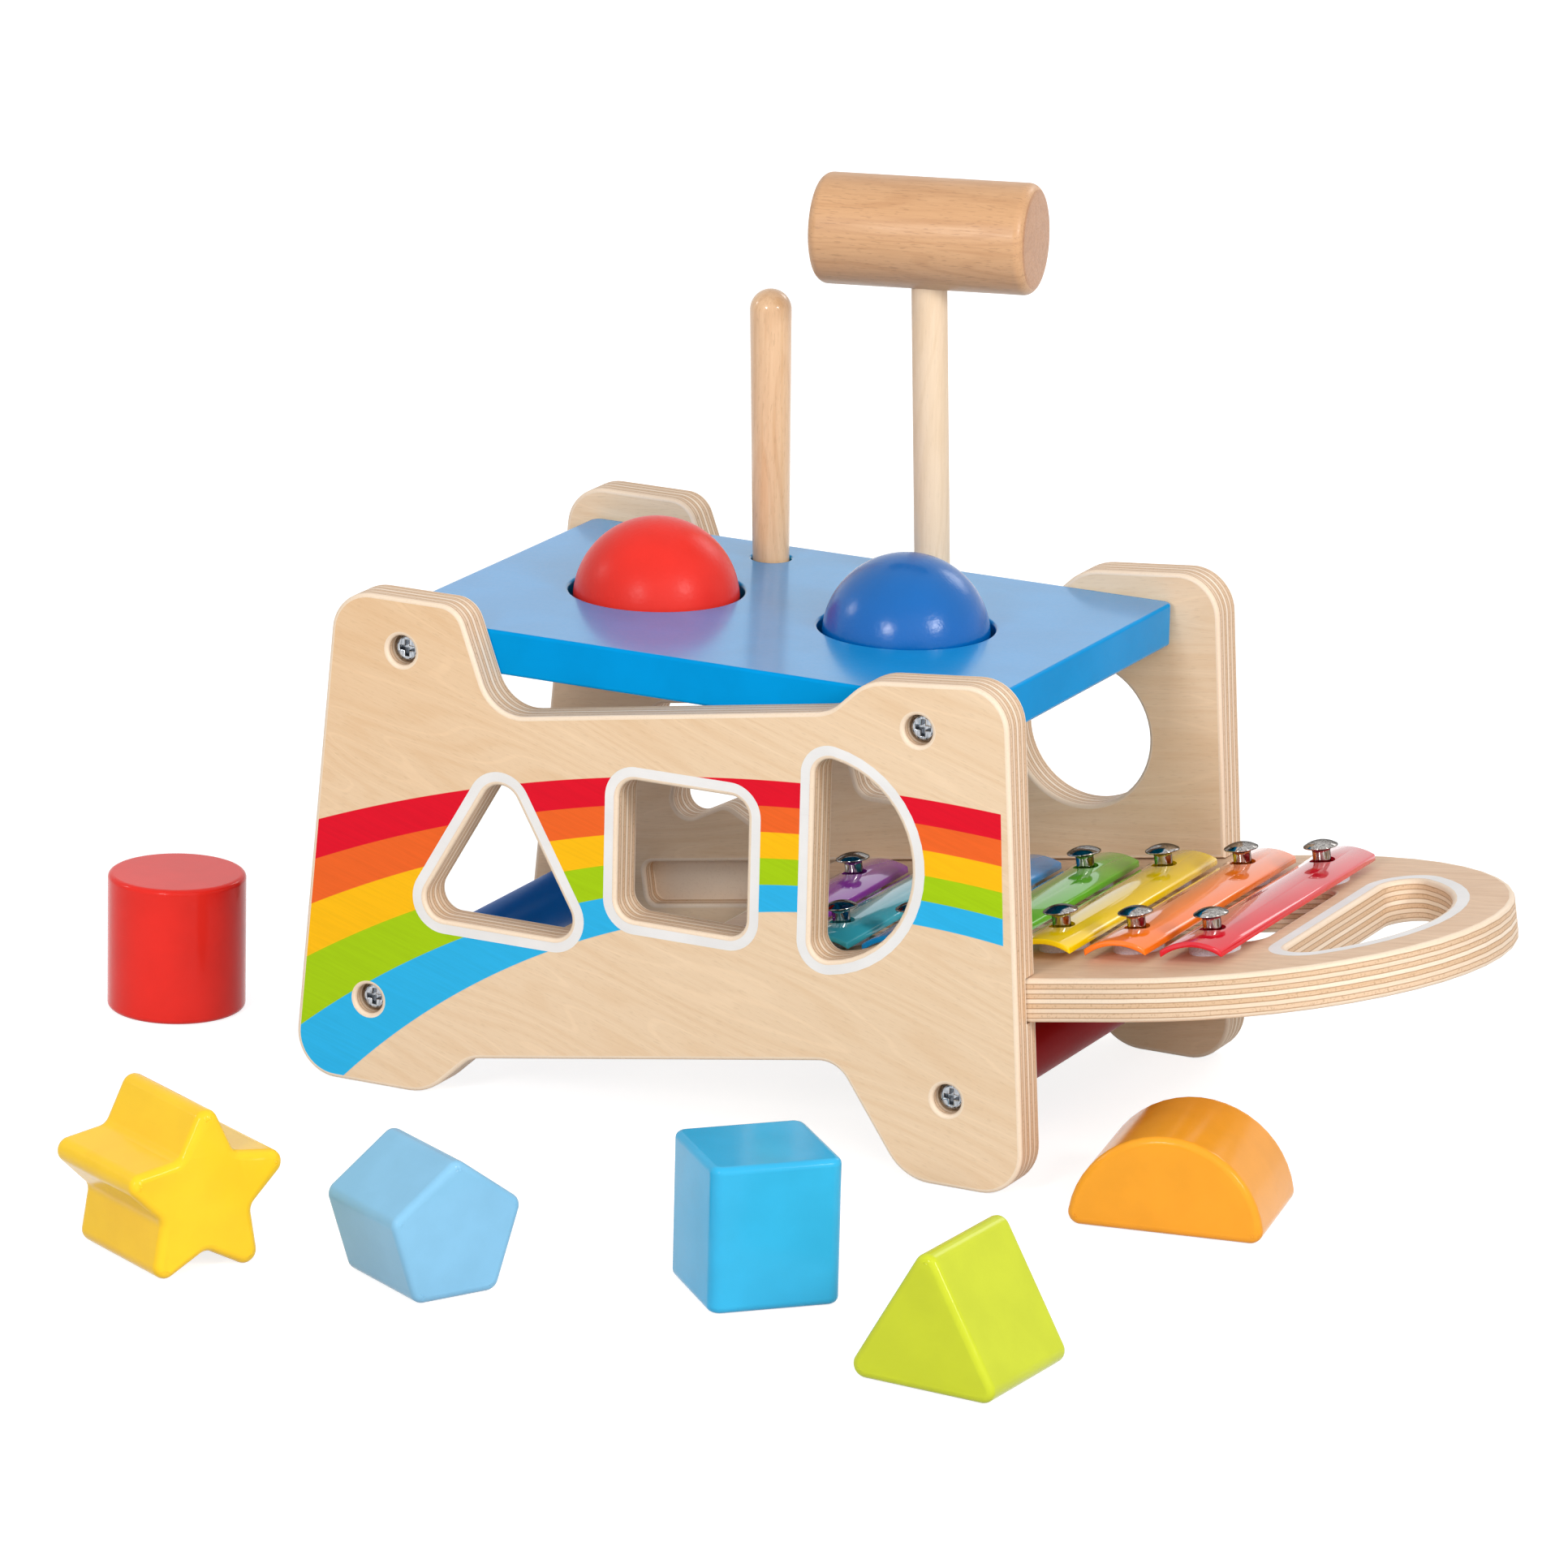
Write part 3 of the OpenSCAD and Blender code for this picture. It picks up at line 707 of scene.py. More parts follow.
@dataclass(frozen=True, kw_only=True)
class RainbowFace(PlyFace):
    """Face veneer with the printed rainbow.

    Attributes:
        stripes: Colours from the top stripe down.
        middle: X of the arcs' middles.
        crest: Height of the top arc.
        crest_step: How much lower each next arc lies.
        radius: Radius of the top arc.
        radius_step: How much smaller each next arc is.
        end_x: X of the print's right end at the top arc's end.
        end_z: Height of that place.
        end_lean: How far the print's end moves to the right per millimetre down.
        end_blur: Half the width of that end's soft edge.
        ink_tone: Lightness of the ink on the lowest and on the highest fibres.
        ink_rise: Height of the ink beside that of the fibres.
        warm: Colour that the veneer is tinted with towards its upper left.
        warm_lean: How much a millimetre to the left counts in that tint, beside one up.
        warm_span: Where the tint starts and where it is full.
    """

    rough: Span = (0.4, 0.54)
    gloss: float = 0.15
    stripes: tuple[Paint, ...] = (
        Paint.STRIPE_RED, Paint.STRIPE_ORANGE, Paint.STRIPE_YELLOW, Paint.STRIPE_GREEN,
        Paint.STRIPE_BLUE,
    )
    middle: float = 74.5
    crest: float = 106.8
    crest_step: float = 7.0
    radius: float = 495.0
    radius_step: float = 51.5
    end_x: float = 103.0
    end_z: float = 106.1
    end_lean: float = 0.053
    end_blur: float = 0.1
    ink_tone: Span = (0.94, 1.03)
    ink_rise: float = 0.4
    warm: Paint = Paint.HEART_TINT
    warm_lean: float = 0.6
    warm_span: Span = (60.0, 230.0)

    def below(self, surface: Surface, flat: NodeSocket, count: int) -> NodeSocket:
        """Gives the mask below one of the arcs.

        Args:
            surface: The material's nodes.
            flat: Place on the piece in millimetres.
            count: Number of the arc, from the top.

        Returns:
            The mask's socket.
        """
        radius = self.radius - count * self.radius_step
        centre = (self.middle, 0.0, self.crest - count * self.crest_step - radius)
        return ArcInside.place(surface, Vector=flat, Centre=centre, Radius=radius)["Inside"]

    def printed(self, surface: Surface, flat: NodeSocket) -> NodeSocket:
        """Gives the mask of the whole print.

        Args:
            surface: The material's nodes.
            flat: Place on the piece in millimetres.

        Returns:
            The mask's socket.
        """
        axes = surface.split(flat)
        reach = surface.plus(axes[0], surface.times(axes[2], self.end_lean))
        end = self.end_x + self.end_z * self.end_lean
        before_end = surface.span(reach, (end - self.end_blur, end + self.end_blur), FALL)
        above_last = surface.minus(1.0, self.below(surface, flat, len(self.stripes)))
        under_first = surface.times(self.below(surface, flat, 0), before_end)
        return surface.times(under_first, above_last)

    def ink(self, surface: Surface, flat: NodeSocket, fibre: NodeSocket) -> NodeSocket:
        """Gives the stripes' colours with a trace of the fibres.

        Args:
            surface: The material's nodes.
            flat: Place on the piece in millimetres.
            fibre: The veneer's fibres.

        Returns:
            The colour's socket.
        """
        colour: Feed = self.stripes[0].linear()
        for count, stripe in enumerate(self.stripes[1:], 1):
            colour = surface.mix(self.below(surface, flat, count), colour, stripe.linear())
        tone = surface.span(fibre, WIDE, self.ink_tone)
        grey = surface.add("ShaderNodeCombineXYZ", dict.fromkeys(range(3), tone)).outputs[0]
        return surface.mix(1.0, colour, grey, "MULTIPLY")

    def warmed(self, surface: Surface, flat: NodeSocket, wood: NodeSocket) -> NodeSocket:
        """Gives the veneer's colour, warmer towards its upper left.

        Args:
            surface: The material's nodes.
            flat: Place on the piece in millimetres.
            wood: The veneer's plain colour.

        Returns:
            The colour's socket.
        """
        axes = surface.split(flat)
        rise = surface.minus(axes[2], surface.times(axes[0], self.warm_lean))
        share = surface.span(rise, self.warm_span)
        return surface.mix(share, wood, self.warm.linear(), "MULTIPLY")

    def look(self, surface: Surface, place: NodeSocket) -> Look:
        """Gives veneer with the print on it.

        Args:
            surface: The material's nodes.
            place: Place on the piece in millimetres, turned and shifted.

        Returns:
            The look.
        """
        wood = super().look(surface, place)
        flat = surface.place()
        printed = self.printed(surface, flat)
        ink = self.ink(surface, flat, wood.height)
        colour = surface.mix(printed, self.warmed(surface, flat, wood.colour), ink)
        peel = LacquerSkin.place(surface, Vector=flat)["Peel"]
        height = surface.plus(wood.height, surface.times(printed, self.ink_rise))
        return Look(colour, peel, NARROW, height)


@dataclass(frozen=True, kw_only=True)
class PlyEdge(Finish):
    """Sanded plywood edge with its veneers.

    Attributes:
        pale: Colour of the layers whose grain runs along.
        tan: Colour of the layers whose grain runs across.
        brown: Colour of glue and flecks.
        flecks: Strength of the flecks.
        glue: Strength of the glue lines.
    """

    pale: Paint = Paint.LAYER_PALE
    tan: Paint = Paint.LAYER_TAN
    brown: Paint = Paint.GLUE_BROWN
    flecks: float = 0.35
    glue: float = 0.72
    rough: Span = (0.45, 0.62)
    relief: float = 0.2
    depth: float = 0.12

    def look(self, surface: Surface, place: NodeSocket) -> Look:
        """Gives layers with sunk glue lines.

        Args:
            surface: The material's nodes.
            place: Place on the piece in millimetres, turned and shifted.

        Returns:
            The look.
        """
        layers = PlyLayers.place(surface, Vector=place)
        colour = surface.mix(layers["Tone"], self.pale.linear(), self.tan.linear())
        for mask, strength in (("Fleck", self.flecks), ("Glue", self.glue)):
            share = surface.times(layers[mask], strength)
            colour = surface.mix(share, colour, self.brown.linear())
        height = surface.minus(layers["Tone"], layers["Glue"])
        return Look(colour, layers["Tone"], RISE, height)


@dataclass(frozen=True, kw_only=True)
class Sprayed(Finish):
    """Sprayed paint, a little lighter and darker in clouds.

    Attributes:
        paint: The colour.
        cloud: Lightness of the dark and of the light clouds.
    """

    paint: Paint
    cloud: Span

    def clouded(self, surface: Surface, cloud: NodeSocket) -> NodeSocket:
        """Gives the clouded colour."""
        dark, light = (self.paint.linear(tone) for tone in self.cloud)
        return surface.mix(surface.span(cloud, NARROW), dark, light)


@dataclass(frozen=True, kw_only=True)
class Lacquer(Sprayed):
    """Coloured lacquer on wood, with a trace of the grain under it.

    Attributes:
        grain: Strength of the grain that shows through.
        grain_span: Part of the fibres' range that shows.
        grain_tone: Lightness of the grain.
        grain_rise: Height of the grain beside that of the orange peel.
        graze: Weight of a clear coat that only faces seen at a low angle have.
        graze_span: Where that coat starts and is full, from nought face on to one edge on.
    """

    cloud: Span = (0.96, 1.03)
    gloss: float = 0.22
    relief: float = 0.05
    depth: float = 0.08
    grain: float
    grain_span: Span = (0.4, 0.8)
    grain_tone: float = 0.72
    grain_rise: float = 4.0
    graze: float = 0.0
    graze_span: Span = (0.6, 0.7)

    def dress(self, surface: Surface) -> None:
        """Feeds the shader, with the low-angle coat where there is one.

        Args:
            surface: The material's nodes.
        """
        super().dress(surface)
        if self.graze:
            facing = surface.add("ShaderNodeLayerWeight").outputs["Facing"]
            weight = surface.span(facing, self.graze_span, (0.0, self.graze))
            surface.put("Coat Weight", weight)

    def look(self, surface: Surface, place: NodeSocket) -> Look:
        """Gives clouded lacquer with orange peel.

        Args:
            surface: The material's nodes.
            place: Place on the piece in millimetres, turned and shifted.

        Returns:
            The look.
        """
        skin = LacquerSkin.place(surface, Vector=place)
        fibre = WoodGrain.place(surface, Vector=place)["Fibre"]
        streak = surface.times(surface.span(fibre, self.grain_span), self.grain)
        cloud = self.clouded(surface, skin["Cloud"])
        colour = surface.mix(streak, cloud, self.paint.linear(self.grain_tone))
        height = surface.plus(skin["Peel"], surface.times(fibre, self.grain_rise * self.grain))
        return Look(colour, skin["Peel"], MIDDLE, height)


@dataclass(frozen=True, kw_only=True)
class Enamel(Sprayed):
    """Thick gloss enamel on sheet metal."""

    cloud: Span = (0.97, 1.05)
    rough: Span = (0.12, 0.2)
    gloss: float = 0.1
    coat: float = 1.0
    relief: float = 0.05

    def look(self, surface: Surface, place: NodeSocket) -> Look:
        """Gives enamel with slow waves."""
        skin = LacquerSkin.place(surface, Vector=place)
        return Look(self.clouded(surface, skin["Cloud"]), skin["Peel"], MIDDLE, skin["Cloud"])


@dataclass(frozen=True, kw_only=True)
class Metal(Finish):
    """Plated metal.

    Attributes:
        paint: Bright colour.
        shade: Colour of its dull places.
        scuff_scale: Scale of the dull places.
        scuff_span: Part of their range over which the colour goes from bright to dull.
        tint: Colour of the mirror at a low angle.
    """

    paint: Paint
    shade: Paint
    scuff_scale: Triple = (2.2, 2.2, 0.5)
    scuff_span: Span = (0.35, 0.75)
    tint: Colour = (0.3, 0.3, 0.3, 1.0)
    relief: float = 0.04
    depth: float = 0.05

    def dress(self, surface: Surface) -> None:
        """Feeds the shader as metal.

        Args:
            surface: The material's nodes.
        """
        super().dress(surface)
        surface.put("Metallic", 1.0)
        surface.put("Specular Tint", self.tint)

    def look(self, surface: Surface, place: NodeSocket) -> Look:
        """Gives plating with dull places.

        Args:
            surface: The material's nodes.
            place: Place on the piece in millimetres, turned and shifted.

        Returns:
            The look.
        """
        scuff = surface.stretched(place, self.scuff_scale)
        dull = surface.span(scuff, self.scuff_span)
        colour = surface.mix(dull, self.paint.linear(), self.shade.linear())
        peel = LacquerSkin.place(surface, Vector=place)["Peel"]
        return Look(colour, peel, NARROW, scuff)


@dataclass(frozen=True, kw_only=True)
class Felt(Finish):
    """Pressed wool felt.

    Attributes:
        paint: Light colour.
        shade: Dark colour.
        fuzz_scale: Scale of the matted fibres.
        fuzz_detail: Noise octaves of the fibres.
        fuzz_bend: How much the fibres curl.
        sheen: Weight of the fibres' sheen.
        sheen_rough: Roughness of the sheen.
    """

    paint: Paint = Paint.FELT_WHITE
    shade: Paint = Paint.FELT_SHADE
    fuzz_scale: Triple = (1.4, 1.4, 2.4)
    fuzz_detail: float = 5.0
    fuzz_bend: float = 1.2
    sheen: float = 0.5
    sheen_rough: float = 0.6
    rough: Span = (0.85, 1.0)
    relief: float = 0.7
    depth: float = 0.5

    def dress(self, surface: Surface) -> None:
        """Feeds the shader, with the fibres' sheen.

        Args:
            surface: The material's nodes.
        """
        super().dress(surface)
        surface.put("Sheen Weight", self.sheen)
        surface.put("Sheen Roughness", self.sheen_rough)

    def look(self, surface: Surface, place: NodeSocket) -> Look:
        """Gives matted fibres.

        Args:
            surface: The material's nodes.
            place: Place on the piece in millimetres, turned and shifted.

        Returns:
            The look.
        """
        fuzz = surface.stretched(place, self.fuzz_scale, self.fuzz_detail, self.fuzz_bend)
        share = surface.span(fuzz, NARROW)
        return Look(surface.mix(share, self.shade.linear(), self.paint.linear()), fuzz, WIDE, fuzz)


@dataclass(frozen=True, kw_only=True)
class Rubber(Finish):
    """Moulded rubber with a bloom.

    Attributes:
        paint: The colour.
        bloom: Lightness of the clean and of the bloomed places.
    """

    paint: Paint = Paint.RUBBER_BLACK
    bloom: Span = (0.7, 1.9)
    rough: Span = (0.6, 0.8)
    relief: float = 0.2

    def look(self, surface: Surface, place: NodeSocket) -> Look:
        """Gives matt rubber.

        Args:
            surface: The material's nodes.
            place: Place on the piece in millimetres, turned and shifted.

        Returns:
            The look.
        """
        skin = LacquerSkin.place(surface, Vector=place)
        clean, bloomed = (self.paint.linear(tone) for tone in self.bloom)
        return Look(surface.mix(skin["Cloud"], clean, bloomed), skin["Peel"], WIDE, skin["Peel"])


LINE_PAINT = Lacquer(
    "white_border_paint", paint=Paint.BORDER_WHITE, rough=(0.43, 0.49), grain=0.05
)


# Mesh work


def solid_copy(node: str) -> BMesh:
    """Copies a CAD node's mesh and joins its loose triangles.

    Args:
        node: Name of the CAD node.

    Returns:
        The joined mesh.
    """
    bm = bmesh.new()
    bm.from_mesh(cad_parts[node].data)
    bmesh.ops.remove_doubles(bm, verts=bm.verts[:], dist=JOIN_DIST)
    bm.normal_update()
    return bm


def corners_of(parts: Iterable[Union[BMEdge, BMFace]]) -> list[BMVert]:
    """Gives the corners of edges or faces, each once."""
    return list(dict.fromkeys(corner for part in parts for corner in part.verts))


def edges_in(geom: Iterable[object]) -> list[BMEdge]:
    """Gives the edges among what an operator made."""
    return [part for part in geom if isinstance(part, BMEdge)]


def faces_towards(bm: BMesh, direction: Vector) -> list[BMFace]:
    """Finds the flat faces on the outermost plane along a direction.

    Args:
        bm: The mesh.
        direction: Unit vector that the faces look along.

    Returns:
        The faces on that plane.
    """
    level = max(v.co.dot(direction) for v in bm.verts) - LEVEL_PLAY * MM

    def is_outermost(face: BMFace) -> bool:
        """Says whether a face looks along the direction and lies on the plane."""
        centre = face.calc_center_median()
        return face.normal.dot(direction) > FACING and centre.dot(direction) > level

    return [face for face in bm.faces if is_outermost(face)]


def inset(bm: BMesh, faces: list[BMFace], width: float, rise: float = 0.0) -> None:
    """Insets flat faces as one region.

    Args:
        bm: The mesh.
        faces: The region, which stays as its inner part.
        width: Width of the new rim in millimetres.
        rise: How far the inner part is lifted, in millimetres.
    """
    bmesh.ops.inset_region(
        bm, faces=faces, thickness=width * MM, depth=rise * MM,
        use_boundary=True, use_even_offset=True,
    )


def round_rim(bm: BMesh, direction: Vector, radius: float, segments: int = 4) -> list[BMFace]:
    """Rounds the edges of the outermost flat faces along a direction, their holes' edges too.

    Args:
        bm: The mesh.
        direction: Unit vector that the faces look along.
        radius: Radius of the rounding in millimetres.
        segments: Steps of the rounding.

    Returns:
        The flat faces, inside a narrow flat rim that keeps their shading flat.
    """
    faces = faces_towards(bm, direction)
    sunk = direction * (-(radius + HOLD) * MM)
    bmesh.ops.translate(bm, verts=corners_of(faces), vec=sunk)
    inset(bm, faces, 0.0, HOLD)
    steps = [math.pi / 2.0 * step / segments for step in range(segments + 1)]
    for low, high in zip(steps, steps[1:]):
        width = (math.cos(low) - math.cos(high)) * radius
        inset(bm, faces, width, (math.sin(high) - math.sin(low)) * radius)
    inset(bm, faces, HOLD)
    return faces


def loops_of(edges: Iterable[BMEdge]) -> list[list[BMEdge]]:
    """Parts edges into groups that hang together.

    Args:
        edges: The edges.

    Returns:
        The groups.
    """
    left = dict.fromkeys(edges)
    groups = []
    while left:
        group = [left.popitem()[0]]
        for edge in group:
            near = [e for v in edge.verts for e in v.link_edges if e in left]
            group.extend(dict.fromkeys(near))
            for found in near:
                left.pop(found, None)
        groups.append(group)
    return groups


def width_of(edges: Iterable[BMEdge]) -> float:
    """Gives how wide edges are along X, in millimetres."""
    places = [corner.co.x / MM for corner in corners_of(edges)]
    return max(places) - min(places)


def paint_lines(
    bm: BMesh, region: list[BMFace], direction: Vector, width: float, spans: Span
) -> None:
    """Paints a line round the openings in flat faces, as a thin film on them.

    Args:
        bm: The mesh.
        region: The flat faces.
        direction: Unit vector that they look along.
        width: Width of the line in millimetres.
        spans: Least and greatest width of an opening that gets a line, in millimetres.
    """
    inner = set(region)
    rims = [e for f in region for e in f.edges if not inner.issuperset(e.link_faces)]
    for loop in loops_of(rims):
        if not spans[0] < width_of(loop) < spans[1]:
            continue
        film = bmesh.ops.duplicate(bm, geom=corners_of(loop) + loop)["geom"]
        sheet = bmesh.ops.edgeloop_fill(bm, edges=edges_in(film))["faces"]
        ring = bmesh.ops.inset_individual(
            bm, faces=sheet, thickness=-width * MM, use_even_offset=True
        )["faces"]
        bmesh.ops.delete(bm, geom=sheet, context="FACES_ONLY")
        bmesh.ops.translate(bm, verts=corners_of(ring), vec=direction * (FILM * MM))
        bmesh.ops.recalc_face_normals(bm, faces=ring)
        bm.normal_update()
        if ring[0].normal.dot(direction) < 0.0:
            bmesh.ops.reverse_faces(bm, faces=ring)
        for face in ring:
            face.material_index = Layer.BORDER


def plywood(node: str, outward: Vector, edge_r: float, line_w: float, spans: Span) -> BMesh:
    """Eases a plywood solid's edges, parts its layers and paints lines round its openings.

    Args:
        node: CAD node to start from.
        outward: Unit vector that its outer face looks along.
        edge_r: Radius of its edges in millimetres.
        line_w: Width of the lines in millimetres, or nought.
        spans: Least and greatest width of an opening that gets a line, in millimetres.

    Returns:
        The mesh, with its faces on the plywood's material places.
    """
    bm = solid_copy(node)
    for face in bm.faces:
        face.material_index = Layer.EDGE
    for layer, direction in ((Layer.INNER, -outward), (Layer.OUTER, outward)):
        flat = round_rim(bm, direction, edge_r)
        for face in flat:
            face.material_index = layer
    if line_w:
        paint_lines(bm, flat, outward, line_w, spans)
    return bm


def spin_round(bm: BMesh, steps: int) -> None:
    """Spins all that a mesh holds once about the Z axis, and closes it.

    Args:
        bm: The mesh, with a profile.
        steps: Steps of the full turn.
    """
    bmesh.ops.spin(
        bm, geom=bm.verts[:] + bm.edges[:], cent=ORIGIN, axis=(0, 0, 1),
        angle=2.0 * math.pi, steps=steps, use_merge=True,
    )
    bmesh.ops.remove_doubles(bm, verts=bm.verts[:], dist=JOIN_DIST)
    bmesh.ops.recalc_face_normals(bm, faces=bm.faces[:])


def turned(profile: Sequence[Span], rounds: Sequence[float], steps: int) -> BMesh:
    """Turns a profile about the Z axis.

    Args:
        profile: Points of radius and height in millimetres.
        rounds: How far from each point its corner is rounded, in millimetres.
        steps: Steps of the full turn.

    Returns:
        The turned mesh.
    """
    bm = bmesh.new()
    points = [bm.verts.new((radius * MM, 0.0, height * MM)) for radius, height in profile]
    for pair in zip(points, points[1:]):
        bm.edges.new(pair)
    for point, reach in zip(points, rounds):
        if reach:
            bmesh.ops.bevel(
                bm, geom=[point], offset=reach * MM, offset_type="OFFSET", affect="VERTICES",
                segments=4, profile=0.5, material=-1,
            )
    spin_round(bm, steps)
    return bm


def on_slope() -> Matrix:
    """Gives the matrix that puts a piece on the board's middle layer, with +X up the slope."""
    lift = Matrix.Translation((0.0, 0.0, BOARD_H * MM))
    return lift @ Matrix.Rotation(-math.radians(SLOPE), 4, "Y")


@dataclass
class Piece:
    """What a finished mesh needs to join the model.

    Attributes:
        name: Name of the piece.
        body: Body that it rides on.
        node: CAD node that it stands for.
        slot: The record's material slot.
        finishes: Finishes in the order of the mesh's material places.
        crease: Edges sharper than this stay sharp, in degrees.
    """

    name: str
    body: str
    # slot: The record's material slot; not used.
    node: str
    slot: str
    finishes: tuple[Finish, ...]
    crease: float = 32.0

    def make(self, shaped: Optional[BMesh] = None) -> None:
        """Makes the object, dresses it and joins it to its body.

        Args:
            shaped: The finished mesh, which is freed, or None for the node's solid as it is.
        """
        bm = solid_copy(self.node) if shaped is None else shaped
        mesh = bpy.data.meshes.new(self.name)
        bm.to_mesh(mesh)
        bm.free()
        stale = mesh.attributes.get("custom_normal")
        if stale:
            mesh.attributes.remove(stale)
        mesh.shade_smooth()
        mesh.set_sharp_from_angle(angle=math.radians(self.crease))
        for finish in self.finishes:
            mesh.materials.append(finish.material())
        made = bpy.data.objects.new(self.name, mesh)
        bpy.context.scene.collection.objects.link(made)
        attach(made, self.body)
        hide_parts(self.node)
        LOG.info("%s: %d faces on %s", self.name, len(mesh.polygons), self.body)


# Sub-assemblies


class SubAssembly(Protocol):
    """Anything that main builds."""

    def build(self) -> None:
        """Builds its pieces."""


@dataclass
class SidePanel:
    """One plywood side with its rounded edges.

    Attributes:
        name: Name of the piece.
        node: CAD node that it stands for.
        side: -1 for the near side, 1 for the far side.
        outer: Finish of its outer face.
        edge_r: Radius of its edges.
        border_w: Width of the white lines round the openings, or nought.
        opening_span: Least and greatest width of an opening's line.
        inner_turn: Turn of the inner veneer.
        inner_shift: Shift of the inner veneer.
    """

    name: str
    node: str
    side: int
    outer: Finish
    edge_r: float = 0.9
    border_w: float = 0.0
    opening_span: Span = (20.0, 90.0)
    inner_turn: Triple = (90.0, 0.0, 8.0)
    inner_shift: Triple = (140.0, 60.0, 0.0)

    def finishes(self) -> tuple[Finish, ...]:
        """Gives the finishes in the order of the plywood's layers.

        Returns:
            Edge, inner, outer and line finish.
        """
        start = HALF_W if self.side < 0 else PLY_T - HALF_W
        return (
            PlyEdge(f"{self.name}_edge", turn=(90.0, 0.0, 0.0), shift=(0.0, 0.0, start)),
            PlyFace(f"{self.name}_inner_veneer", self.inner_turn, self.inner_shift),
            self.outer,
            LINE_PAINT,
        )

    def build(self) -> None:
        """Builds the panel from its solid."""
        outward = Vector((0.0, self.side, 0.0))
        bm = plywood(self.node, outward, self.edge_r, self.border_w, self.opening_span)
        Piece(self.name, Body.BENCH.value, self.node, "plywood", self.finishes()).make(bm)


@dataclass
class BenchFrame:
    """Plate, crossbars, screws and grip rings between the panels.

    Attributes:
        plate_r: Radius of the plate's edges.
        screw_r: Radius of the edges of the screws' heads.
        ease_steps: Steps of both roundings.
        rods: Word, colour and slot of each crossbar.
    """

    plate_r: float = 0.8
    screw_r: float = 0.45
    ease_steps: int = 3
    rods: tuple[tuple[str, Paint, str], ...] = (
        ("left", Paint.ROD_BLUE, "dark_blue_lacquer"),
        ("right", Paint.ROD_RED, "dark_red_lacquer"),
    )

    def build(self) -> None:
        """Builds all pieces of the frame."""
        self.build_plate()
        self.build_crossbars()
        self.build_screws()
        self.build_rings()

    def build_plate(self) -> None:
        """Builds the blue plate with eased edges."""
        bm = solid_copy("top_plate")
        for way in (1.0, -1.0):
            round_rim(bm, Vector((0.0, 0.0, way)), self.plate_r, self.ease_steps)
        finish = Lacquer(
            "plate_lacquer", paint=Paint.PLATE_BLUE, rough=(0.31, 0.37), grain=0.04, graze=1.0,
            coat_rough=0.16, gloss=0.03, relief=0.012,
        )
        Piece("plate", Body.BENCH.value, "top_plate", "blue_lacquer", (finish,)).make(bm)

    def build_crossbars(self) -> None:
        """Builds the two lacquered rods, with their grain along Y."""
        for word, paint, slot in self.rods:
            finish = Lacquer(
                f"{word}_rod_lacquer", turn=(0.0, 0.0, 90.0), paint=paint, rough=(0.33, 0.39),
                grain=0.04, gloss=0.03, relief=0.02,
            )
            node = f"{word}_crossbar"
            Piece(f"{word}_rod", Body.BENCH.value, node, slot, (finish,)).make()

    def build_screws(self) -> None:
        """Builds the screws with eased heads and recesses."""
        bm = solid_copy("panel_screws")
        for side in (-1.0, 1.0):
            round_rim(bm, Vector((0.0, side, 0.0)), self.screw_r, self.ease_steps)
        finish = Metal(
            "zinc_plating", paint=Paint.ZINC, shade=Paint.ZINC_SHADE, rough=(0.16, 0.26)
        )
        Piece("screws", Body.BENCH.value, "panel_screws", "zinc", (finish,)).make(bm)

    def build_rings(self) -> None:
        """Builds the rubber ring in each ball hole."""
        finish = Rubber("moulded_rubber")
        for word in ("left", "right"):
            node = f"{word}_grip_ring"
            name = f"{word}_rubber_ring"
            Piece(name, Body.BENCH.value, node, "ring_rubber", (finish,)).make()


@dataclass
class Ball:
    """A turned and lacquered ball.

    Attributes:
        name: Name of the piece, of its node and of its body.
        paint: Its colour.
        slot: The record's material slot.
        diameter: Its diameter.
        flat: Depth of the small flat that its foot was held by.
        arc_steps: Steps from pole to pole.
        rough: Least and greatest roughness of its lacquer.
        gloss: Strength of its mirror.
        relief: Strength of its orange peel.
    """

    name: str
    paint: Paint
    slot: str
    diameter: float = 46.5
    flat: float = 0.12
    arc_steps: int = 40
    rough: Span = (0.3, 0.36)
    gloss: float = 0.22
    relief: float = 0.7

    def build(self) -> None:
        """Spins the ball and cuts its foot."""
        radius = self.diameter / 2.0 * MM
        bm = bmesh.new()
        pole = bm.verts.new((0.0, 0.0, radius))
        bmesh.ops.spin(
            bm, geom=[pole], cent=ORIGIN, axis=(0, 1, 0), angle=math.pi, steps=self.arc_steps
        )
        spin_round(bm, 2 * self.arc_steps)
        foot = (0.0, 0.0, self.flat * MM - radius)
        cut = bmesh.ops.bisect_plane(
            bm, geom=bm.verts[:] + bm.edges[:] + bm.faces[:], plane_co=foot,
            plane_no=(0, 0, -1), clear_outer=True,
        )
        bmesh.ops.holes_fill(bm, edges=edges_in(cut["geom_cut"]))
        low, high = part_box(self.name)
        middle = (Vector(low) + Vector(high)) / 2.0
        bmesh.ops.translate(bm, verts=bm.verts[:], vec=middle)
        finish = Lacquer(
            f"{self.name}_lacquer", paint=self.paint, rough=self.rough, grain=0.02,
            gloss=self.gloss, relief=self.relief,
        )
        Piece(f"turned_{self.name}", self.name, self.name, self.slot, (finish,)).make(bm)


